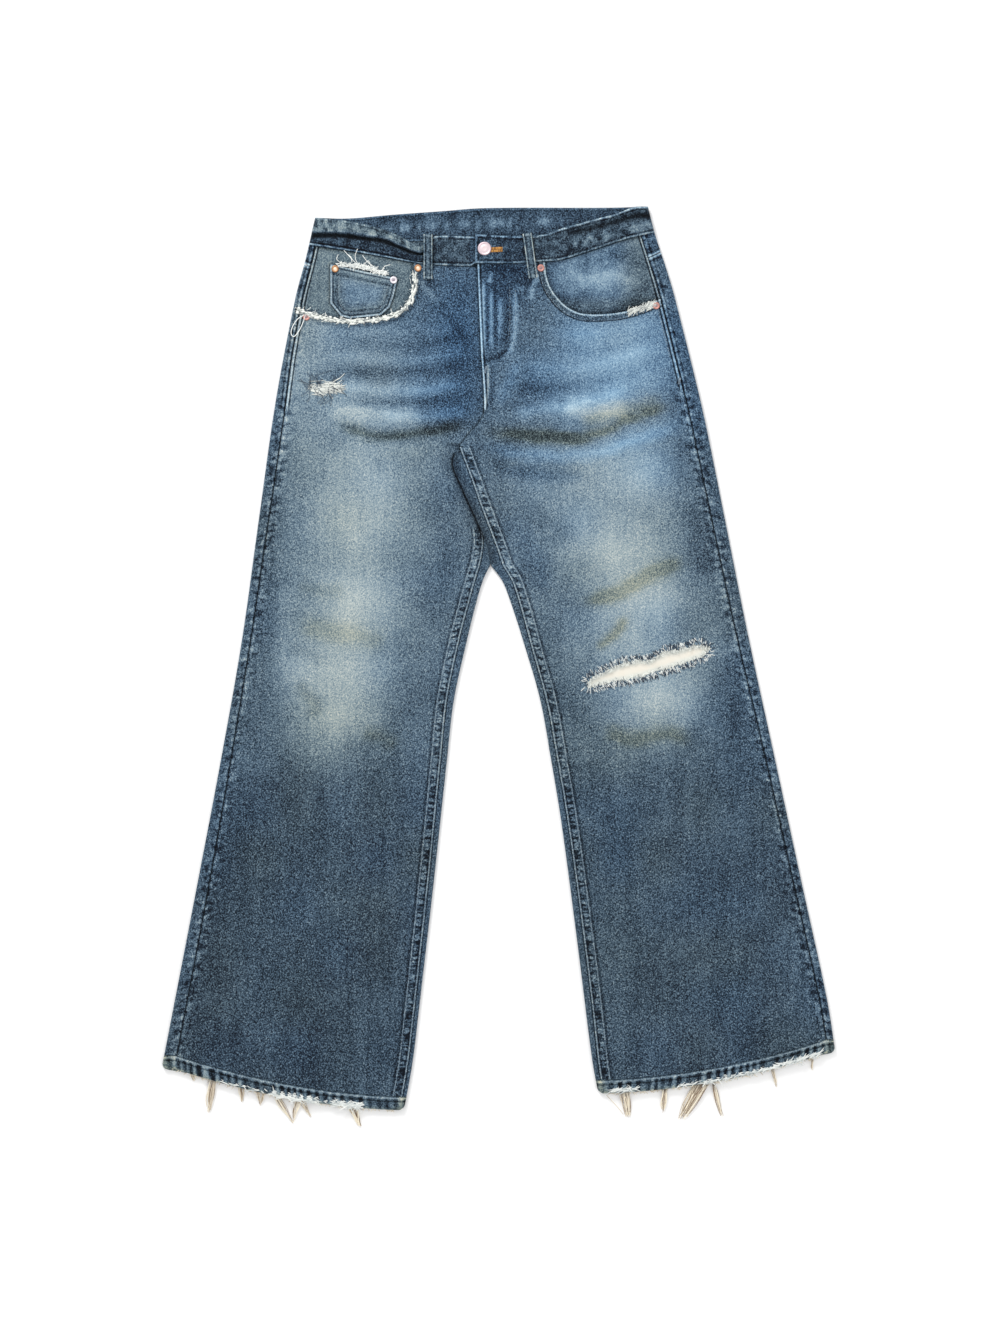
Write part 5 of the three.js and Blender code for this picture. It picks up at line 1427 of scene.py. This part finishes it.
# The line of a leg seam moved in by an offset, from one row height to another.
def seamLine(leg, which, top, bottom, offset):
    row = rowOf(leg, rowsBetween(top, bottom, 6))
    inward = -leg["side"] if which == "seam" else leg["side"]
    x = (row[which] + inward * offset)[:, 0]
    flatRow = {k: v[:, 0] if isinstance(v, np.ndarray) else v for k, v in row.items()}
    return np.stack([x, rowY(flatRow, x)], 1)


def hemStitchLine(leg):
    row = rowOf(leg, np.array([leg["hemY"][1] + lie["hemDepth"] - 2.6]))
    x = np.linspace(float(row["edge"][0]) - leg["side"] * 3,
                    float(leg["innerFold"](leg["hemY"][1])) + leg["side"] * 3, 60)
    return np.stack([x, rowY(row, x)], 1)


# Moves a line sideways: to the left of its direction for d above 0.
def beside(line, d):
    step = unit(np.gradient(line, axis=0))
    return line + np.asarray(d)[..., None] * np.stack([-step[:, 1], step[:, 0]], 1)


sewn = []
for leg in (rightLeg, leftLeg):
    hemTop = leg["hemY"][1] + 18
    sewn += [seamLine(leg, "inner", 270 if leg["side"] > 0 else 168, hemTop, 1.6),
             seamLine(leg, "inner", 270 if leg["side"] > 0 else 150, hemTop, 11.6)]
    hipFoot = 322 if leg["side"] < 0 else 346
    sewn += [seamLine(leg, "seam", leg["waistY"][1] - 60, hipFoot, d) for d in (1.7, 6.8)]
leftMouth = mouths["left"][6:52]
sewn += [beside(leftMouth, -1.4), beside(leftMouth, -7.6)]
sewn += [np.array([(21, 470), (21, 424), (18, 400), (8, 386.5), (-6, 382), (-21, 382)], float),
         np.array([(14, 474), (14, 426), (11, 406), (3, 394), (-8, 389), (-21, 389)], float)]
sewn = [smoothLine(l, 40) if len(l) < 12 else l for l in sewn]
paths = np.concatenate([stitchPaths(l, sewing["pitch"], sewing["length"], topAt, 0.25) for l in sewn])
coinRing = np.concatenate([coinOutline[2:], coinOutline[:1]])
middle = coinOutline.mean(0)
for pull in (0.955, 0.74):
    line = smoothLine(middle + (coinRing - middle) * pull, 60)
    coinZ = lambda x, y: topAt(x, y) + 0.35
    paths = np.concatenate([paths, stitchPaths(line, sewing["pitch"], sewing["length"], coinZ, 0.1)])
for leg in (rightLeg, leftLeg):
    hemZ = lambda x, _: lie["legTop"] + hems["rise"] + lie["legCrown"] * 0.9 + 0 * x
    line = hemStitchLine(leg)
    paths = np.concatenate([paths, stitchPaths(line, sewing["pitch"], sewing["length"], hemZ, 0.15)])
seamStitches = tubes("seamStitches", paths, sewing["radius"] * np.array([0.5, 1, 1, 0.5]),
                      rng.uniform(0, 1, len(paths)), seamThread)
print("stitches:", len(paths))


# Bar tacks: rows of close threads across a short line.
def barTack(cx, cy, wide, tall, turn, z):
    n = int(wide / 0.75)
    s = (np.arange(n) + 0.5) / n - 0.5
    t = np.array([-0.5, -0.2, 0.2, 0.5])[None, :]
    lx, ly = s[:, None] * wide + 0.25 * t, t * tall
    x, y = placed((cx, cy), turn, lx, ly)
    return vec(x, y, z + np.array([-0.2, 0.15, 0.15, -0.2]))


turn = loops["leftTurn"]
at = lambda lx, ly: placed(loops["leftAt"], turn, lx, ly)
tacks = np.concatenate([barTack(-88, 536.5, 10, 2.2, 0, 11.7), barTack(-88, 485.5, 10, 2.2, 0, 9.7),
        barTack(*at(0, 25.5), 10, 2.2, turn, 11.7), barTack(*at(0, -25.5), 10, 2.2, turn, 9.7),
        barTack(-16, 370, 9, 2.4, 1.3, 10.2), barTack(226, 356, 9, 2.4, 1.4,
        float(topAt([226.0], [356.0])[0]) + 0.3)])
tackThreads = tubes("barTacks", tacks, 0.36, rng.uniform(0, 1, len(tacks)), seamThread)

# the buttonhole: close stitches above and below its slit
hole = {"x": -2.6, "y": 519.8, "wide": 15, "half": 2.7}
holeZ = band["high"] + band["overlap"] * 0.9 + 0.7
holePaths = np.concatenate([
    barTack(hole["x"], hole["y"] + side * (hole["half"] / 2 + 0.25), hole["wide"], hole["half"], 0.04, holeZ)
    for side in (-1, 1)])
holeStitches = tubes("buttonholeStitches", holePaths, 0.46, rng.uniform(0, 1, len(holePaths)), goldThread)
print("bar tacks and buttonhole made")

# Knee rip: its ragged lip, and rows of short yarn ends beside it.
rip = {"lip": 380, "dashes": 400, "spread": 6.4, "seed": 11}
rng = np.random.default_rng(rip["seed"])


# Short yarns square to the rip's border, gap away from it, in a row loosely spaced.
def ripYarns(count, gap, scatter, length, lean, wander, lift):
    border = ripOutline(gap, 0.6 if gap > 3 else 1.3, 720)
    step = np.roll(border, -3, 0) - np.roll(border, 3, 0)
    pick = (np.arange(count) / count * 720 + rng.uniform(0, 720 / count, count)).astype(int) % 720
    outwards = np.arctan2(step[pick, 0], -step[pick, 1])
    reach = rng.uniform(*length, count)
    angle = outwards + lean + rng.normal(0, wander, count)
    x = border[pick, 0] + rng.normal(0, scatter, count) - np.cos(angle) * reach / 2
    y = border[pick, 1] + rng.normal(0, scatter, count) - np.sin(angle) * reach / 2
    px, py, t = looseThreads(x, y, angle, reach, rng.normal(0, 0.2, count), 5, seed=12)
    return vec(px, py, topAt(px, py) + lift + rng.uniform(0.0, 0.7, (count, 1)) * np.sin(np.pi * t))


lip = ripYarns(rip["lip"], 0.9, 1.2, (2.0, 5.5), 0, 0.7, 0.25)
dashes = ripYarns(rip["dashes"], rip["spread"], 1.3, (2.6, 7.2), 0.15, 0.32, 0.2)
stray = ripYarns(60, 3.5, 1.5, (2.0, 5.0), 0, 0.8, 0.3)
dark = rng.uniform(size=len(dashes)) < 0.5
darkYarns = np.concatenate([dashes[dark], stray[:35]])
paleYarns = np.concatenate([dashes[~dark], stray[35:]])
kneeWarpDark = tubes("kneeWarpBlue", darkYarns, 0.55, rng.uniform(0.5, 1, len(darkYarns)), blueThread)
kneeWarpPale = tubes("kneeWarpPale", paleYarns, 0.44, rng.uniform(0, 1.4, len(paleYarns)), whiteThread)
kneeLip = tubes("kneeLip", lip, 0.36, rng.uniform(-0.6, 0.75, len(lip)), frayCloth)
print("knee rip made")

# Frayed edges: how many ropes of yarn lie side by side, and how finely each is made.
frays = {"seed": 21, "ropes": 5, "ropeBeads": 260}
rng = np.random.default_rng(frays["seed"])


# Threads along a line: roots scattered across a band on it, lying mostly along it.
def frayLine(line, count, bandWide, length, lean, spreadAngle, steps=5):
    line = np.asarray(line, float)
    s = alongLine(line)
    at = rng.uniform(0, s[-1], count)
    x, y = onLine(at, s, line)
    (x0, y0), (x1, y1) = onLine(at - 2, s, line), onLine(at + 2, s, line)
    heading = np.arctan2(y1 - y0, x1 - x0) + np.where(rng.uniform(size=count) < 0.5, np.pi, 0)
    off = rng.uniform(-0.5, 0.5, count) * bandWide
    x, y = x - np.sin(heading) * off, y + np.cos(heading) * off
    angle = heading + lean + rng.normal(0, spreadAngle, count)
    length = rng.uniform(*length, count)
    x, y = x - np.cos(angle) * length / 2, y - np.sin(angle) * length / 2
    return looseThreads(x, y, angle, length, rng.normal(0, 0.3, count), steps, 0.4, 22)


def threadsOn(name, made, lift, radius, material, wavy=1.0, tones=(0, 1)):
    px, py, t = made
    n = len(px)
    pz = topAt(px, py) + lift + wavy * rng.uniform(0, 1, (n, 1)) * np.sin(np.pi * t)
    obj = tubes(name, vec(px, py, pz), radius, rng.uniform(*tones, n), material)
    return obj


# Lumpy ropes side by side along a line: each swings, swells and pales by noise along its length. Thin
# stretches and the outer ropes are darker, partly blue yarn and partly painted shade in the gaps and
# along the sides.
def ropes(name, line, count, wide, thick, lift, material, seed):
    beads = np.linspace(0, len(line) - 1, frays["ropeBeads"])
    base = np.stack(onLine(beads, np.arange(len(line)), line), 1)
    s = alongLine(base)
    paths, radii, tones = [], [], []
    for k in range(count):
        swing = wide * ((k + 0.5) / count - 0.5) + 0.16 * wide * softNoise(s, 0, 5, 5, seed + 3 * k)
        at = beside(base, swing)
        lump = softNoise(s, 0, 2.6, 5, seed + 3 * k + 1)
        paths.append(vec(at[:, 0], at[:, 1], topAt(at[:, 0], at[:, 1]) + lift + 0.4 * lump))
        radii.append(thick * (1 + 0.55 * lump) * np.sin(np.pi * np.clip(s / s[-1] * 12, 0, 0.5)) + 0.1)
        tones.append(0.40 - 1.4 * lump + 0.35 * (k in (0, count - 1)))
    obj = tubes(name, np.stack(paths), np.stack(radii), np.stack(tones), material)
    return obj


rightEdge = mouths["right"][6:57]
mouthRope = ropes("pocketRope_right", beside(rightEdge, 0.6), frays["ropes"], 5.8, 0.95, 0.55,
                  frayCloth, 81)
mouthYarn = frayLine(beside(rightEdge, 0.6), 190, 4.5, (4, 10), 0.15, 0.25)
mouthFray = threadsOn("pocketFray_right", mouthYarn, 1.2, 0.34, frayCloth, 0.5, (-0.2, 1.0))
mouthTail = frayLine(beside(rightEdge, -1), 46, 7, (3, 8), 1.0, 0.6)
mouthFuzz = threadsOn("pocketFuzz_right", mouthTail, 0.8, 0.26, whiteThread)
leftEnd = mouths["left"][43:54]
leftYarn = frayLine(beside(leftEnd, -2.6), 150, 7, (3, 8), 0.2, 0.4)
mouthFrayLeft = threadsOn("pocketFray_left", leftYarn, 1.0, 0.42, frayCloth,
                          0.6, (-0.1, 0.7))
coinTop = smoothLine([(-202, 502), (-183, 500), (-170, 499), (-155, 494), (-140, 490)], 30)
coinRope = ropes("coinRope", coinTop, 4, 4.2, 0.8, 0.9, frayCloth, 131)
coinYarn = frayLine(coinTop, 120, 5, (3, 9), 0.4, 0.6)
coinFray = threadsOn("coinFray", coinYarn, 1.6, 0.38, whiteThread)
# the long threads: each a root, a bend and a tip
strands = [[(-175, 500), (-183, 508), (-193, 519)], [(-175, 500), (-179, 511), (-176, 521)],
           [(-155, 498), (-163, 504), (-170, 513)], [(-168, 500), (-163, 506), (-159, 499)],
           [(-183, 504), (-184, 510), (-188, 514)], [(-146, 493), (-142, 499), (-135, 501)],
           [(-196, 503), (-202, 508), (-200, 514)]]
strandPaths = np.stack([smoothLine(l, 14) for l in strands])
strandZ = topAt(strandPaths[..., 0], strandPaths[..., 1]) + 1.6
coinThreads = tubes("coinLooseThreads", vec(strandPaths[..., 0], strandPaths[..., 1], strandZ), 0.36,
                    0.2 * np.arange(7) / 6, whiteThread)
hipX, hipY = rng.uniform(-238, -202, 130), rng.normal(347, 3.0, 130)
weft = looseThreads(hipX, hipY, rng.normal(-0.1, 0.22, 130), rng.uniform(6, 16, 130),
                    rng.normal(0, 0.2, 130), 5, 0.4, 24)
hipWeft = threadsOn("hipWeft", weft, 0.4, 0.40, frayCloth, 1.0, (-0.1, 0.5))
hipX, hipY = rng.uniform(-240, -198, 46), rng.normal(348, 5, 46)
upOrDown = np.where(rng.uniform(size=46) < 0.6, 1.57, -1.57) + rng.normal(0, 0.45, 46)
warp = looseThreads(hipX, hipY, upOrDown, rng.uniform(8, 20, 46), rng.normal(0, 0.4, 46), 8, 0.8, 25)
hipWarp = threadsOn("hipWarp", warp, 0.6, 0.28, blueThread, 1.2)
loopLine = smoothLine([(-241, 439), (-244, 429), (-250, 417), (-256, 411), (-259, 415), (-257, 424),
                       (-250, 434), (-243, 438)], 26)
loopZ = np.full(26, 8.8)
threadLoop = tubes("threadLoop", vec(loopLine[:, 0], loopLine[:, 1], loopZ)[None], 0.5, [0.1], whiteThread)
# pin holes near the right hem: rings of dark threads, painted shade for the dark inside of each hole
pins = np.array([(-314, -462), (-227, -456)], float)
pinTurn = np.arange(7) * 2 * np.pi / 7
pinX, pinY = [(pins[:, i, None, None] + f(pinTurn)[None, :, None] * np.array([0.2, 0.8, 1.3])).reshape(-1, 3)
              for i, f in ((0, np.cos), (1, np.sin))]
pinHoles = tubes("pinHoles", vec(pinX, pinY, topAt(pinX, pinY) + np.array([0.1, 0.25, 0.0])), 0.4,
                 np.full(14, 1.0), blueThread)
print("frays made")

# Hem fringes are tufts of loose yarn that hang below each hem. Each tuft: where it leaves the hem,
# where its tip lies, how many yarns it has, how wide it is, and how thick they are.
tufts = {
    "right": [(-357, -519, -362, -558, 9, 8, 0.75), (-322, -525, -320, -545, 6, 5, 0.65),
              (-303, -529, -297, -550, 4, 3, 0.6), (-293, -531, -298, -549, 4, 3, 0.6),
              (-280, -535, -257, -571, 6, 5, 0.75), (-250, -539, -257, -571, 5, 5, 0.7),
              (-249, -539, -234, -565, 6, 5, 0.7), (-184, -547, -174, -575, 12, 10, 0.75),
              (-383, -511, -380, -519, 4, 5, 0.5)],
    "left": [(157, -533, 162, -564, 12, 13, 0.75), (135, -537, 157, -561, 1, 1, 0.5),
             (208, -531, 205, -558, 7, 6, 0.75), (254, -522, 229, -566, 22, 20, 0.85),
             (269, -524, 280, -565, 6, 4, 0.7), (342, -506, 348, -527, 5, 5, 0.65),
             (392, -493, 392, -506, 4, 4, 0.55)],
}
fringeFuzz = {"count": 190, "length": (1, 4.5)}
rng = np.random.default_rng(31)


# Yarns of a tuft start across its width and gather at its tip, each a little longer or shorter.
def fringe(leg):
    name = leg["name"]
    made = []
    for x0, y0, x1, y1, count, wide, thick in tufts[name]:
        count = 2 * count - 1
        # every second yarn is thinner and dark: painted shade between the pale yarns
        dark = np.arange(count) % 2
        s = (np.arange(count) + 0.5) / count - 0.5 + rng.normal(0, 0.04, count)
        reach = rng.uniform(0.72, 1.02, count)
        fromY = y0 + rng.uniform(0, 3, count)
        toX = x0 + (x1 - x0) * reach + s * wide * 0.42 + rng.normal(0, 0.6, count)
        radius = thick * rng.uniform(0.7, 0.95, count) * (1 - 0.4 * dark)
        shadeOf = 0.45 * rng.uniform(0, 1, count) + 0.55 * dark
        made.append(np.stack([x0 + s * wide, fromY, toX, y0 + (y1 - y0) * reach, radius, shadeOf], 1))
    low, high = sorted((float(leg["fold"](leg["hemY"][0])), float(leg["innerFold"](leg["hemY"][1]))))
    row = rowOf(leg, np.array([leg["hemY"][1]]))
    n = fringeFuzz["count"]
    fuzzX = rng.uniform(low + 12, high - 12, n)
    fuzzY = rowY(row, fuzzX) + rng.uniform(0, 2, n)
    toX, toY = fuzzX + rng.normal(0, 3, n), fuzzY - rng.uniform(*fringeFuzz["length"], n)
    made.append(np.stack([fuzzX, fuzzY, toX, toY, np.full(n, 0.4), rng.uniform(0, 0.5, n)], 1))
    rootX, rootY, tipX, tipY, thick, tone = [c[:, None] for c in np.concatenate(made).T]
    t = np.linspace(0, 1, 10)[None, :]
    n = len(rootX)
    bend = rng.normal(0, 0.05, (n, 1)) * np.hypot(tipX - rootX, tipY - rootY)
    px = mix(rootX, tipX, t) + bend * np.sin(np.pi * t) + rng.normal(0, 0.5, (n, 1)) * np.sin(2 * np.pi * t)
    py = mix(rootY, tipY, t) + 0.2 * bend * np.sin(2 * np.pi * t)
    pz = 1.2 + rng.uniform(0.2, 3.0, (n, 1)) * (1 - t) + rng.uniform(0, 0.8, (n, 1)) * np.sin(np.pi * t) ** 2
    obj = tubes(f"hemFringe_{name}", vec(px, py, pz), thick * (1 - 0.45 * t**3), tone[:, 0], tanThread)
    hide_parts(f"hem_fringe_{name}")
    return obj


fringes = {leg["name"]: fringe(leg) for leg in (rightLeg, leftLeg)}
# torn spots on the hem: white arcs of yarn, thick in the middle
hemWhites = []
for leg, spans in ((rightLeg, ((-283, -229, 4.6), (-205, -171, 4.6), (-345, -290, 0.5), (-229, -205, 0.6))),
                   (leftLeg, ((226, 404, 1.5), (140, 172, 1.2)))):
    row = rowOf(leg, np.array([leg["hemY"][1]]))
    for x0, x1, dense in spans:
        x = np.linspace(x0, x1, 20)
        line = np.stack([x, rowY(row, x) + 3.0], 1)
        px, py, t = frayLine(line, int(abs(x1 - x0) * dense), 1.5 + dense, (4, 16), 0, 0.3, 7)
        whiteZ = lie["legTop"] + 1.3 + rng.uniform(0, 1, (len(px), 1)) * np.sin(np.pi * t)
        hemWhites.append(vec(px, py, whiteZ))
hemWhites = np.concatenate(hemWhites)
hemFray = tubes("hemFray", hemWhites, 0.58 * np.sin(np.linspace(0.35, 2.8, 7)),
                rng.uniform(0, 1, len(hemWhites)), whiteThread)
print("fringes made")
# Floor, light and camera.
studio = {"dome": 0.92, "key": 90.0, "fill": 18.0, "cameraHeight": 8.0, "frameTall": 1.66625,
          "aimX": 0.0019 + shiftX * 0.001, "aimY": -0.0006 + shiftY * 0.001}
floorMaterial, floorTree, floorShader = newMaterial("studioFloor", Roughness=0.95, Specular_IOR_Level=0.0)
cloudy = addNode(floorTree, "ShaderNodeTexNoise", Vector=objectPoint(floorTree),
                 Scale=2.0, Detail=2.0).outputs[0]
plug(blendColor("MIX", cloudy, (0.93, 0.93, 0.93, 1), (0.955, 0.955, 0.955, 1)),
     floorShader.inputs["Base Color"])
floorMesh = bpy.data.meshes.new("studioFloor")
floorMesh.from_pydata([(-6, -6, -0.0004), (6, -6, -0.0004), (6, 6, -0.0004),
        (-6, 6, -0.0004)], [], [(0, 1, 2, 3)])
floorMesh.materials.append(floorMaterial)
floor = bpy.data.objects.new("studioFloor", floorMesh)
bpy.context.scene.collection.objects.link(floor)
floor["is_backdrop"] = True

world = bpy.data.worlds.new("studioDome")
world.use_nodes = True
world.node_tree.nodes["Background"].inputs["Color"].default_value = (1, 1, 1, 1)
world.node_tree.nodes["Background"].inputs["Strength"].default_value = studio["dome"]
bpy.context.scene.world = world


def softLight(name, power, size, place):
    data = bpy.data.lights.new(name, "AREA")
    data.energy, data.size = power, size
    lamp = bpy.data.objects.new(name, data)
    lamp.location = place
    lamp.rotation_mode = "QUATERNION"
    lamp.rotation_quaternion = (-lamp.location).to_track_quat("-Z", "Y")
    bpy.context.scene.collection.objects.link(lamp)


softLight("keyLight", studio["key"], 1.2, (-1.3, 2.9, 1.9))
softLight("fillLight", studio["fill"], 2.5, (2.6, -1.4, 2.4))

camera = bpy.data.objects.new("camera", bpy.data.cameras.new("camera"))
camera.location = (studio["aimX"], studio["aimY"], studio["cameraHeight"])
camera.data.sensor_width = 36
camera.data.lens = 36 * studio["cameraHeight"] / studio["frameTall"]
camera.data.clip_start, camera.data.clip_end = 0.1, 60
bpy.context.scene.collection.objects.link(camera)
bpy.context.scene.camera = camera
bpy.context.scene.view_settings.view_transform = "Standard"
bpy.context.scene.view_settings.look = "None"

count = sum(len(p.vertices) - 2 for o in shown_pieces() for p in o.data.polygons)
print("triangles in all:", count)
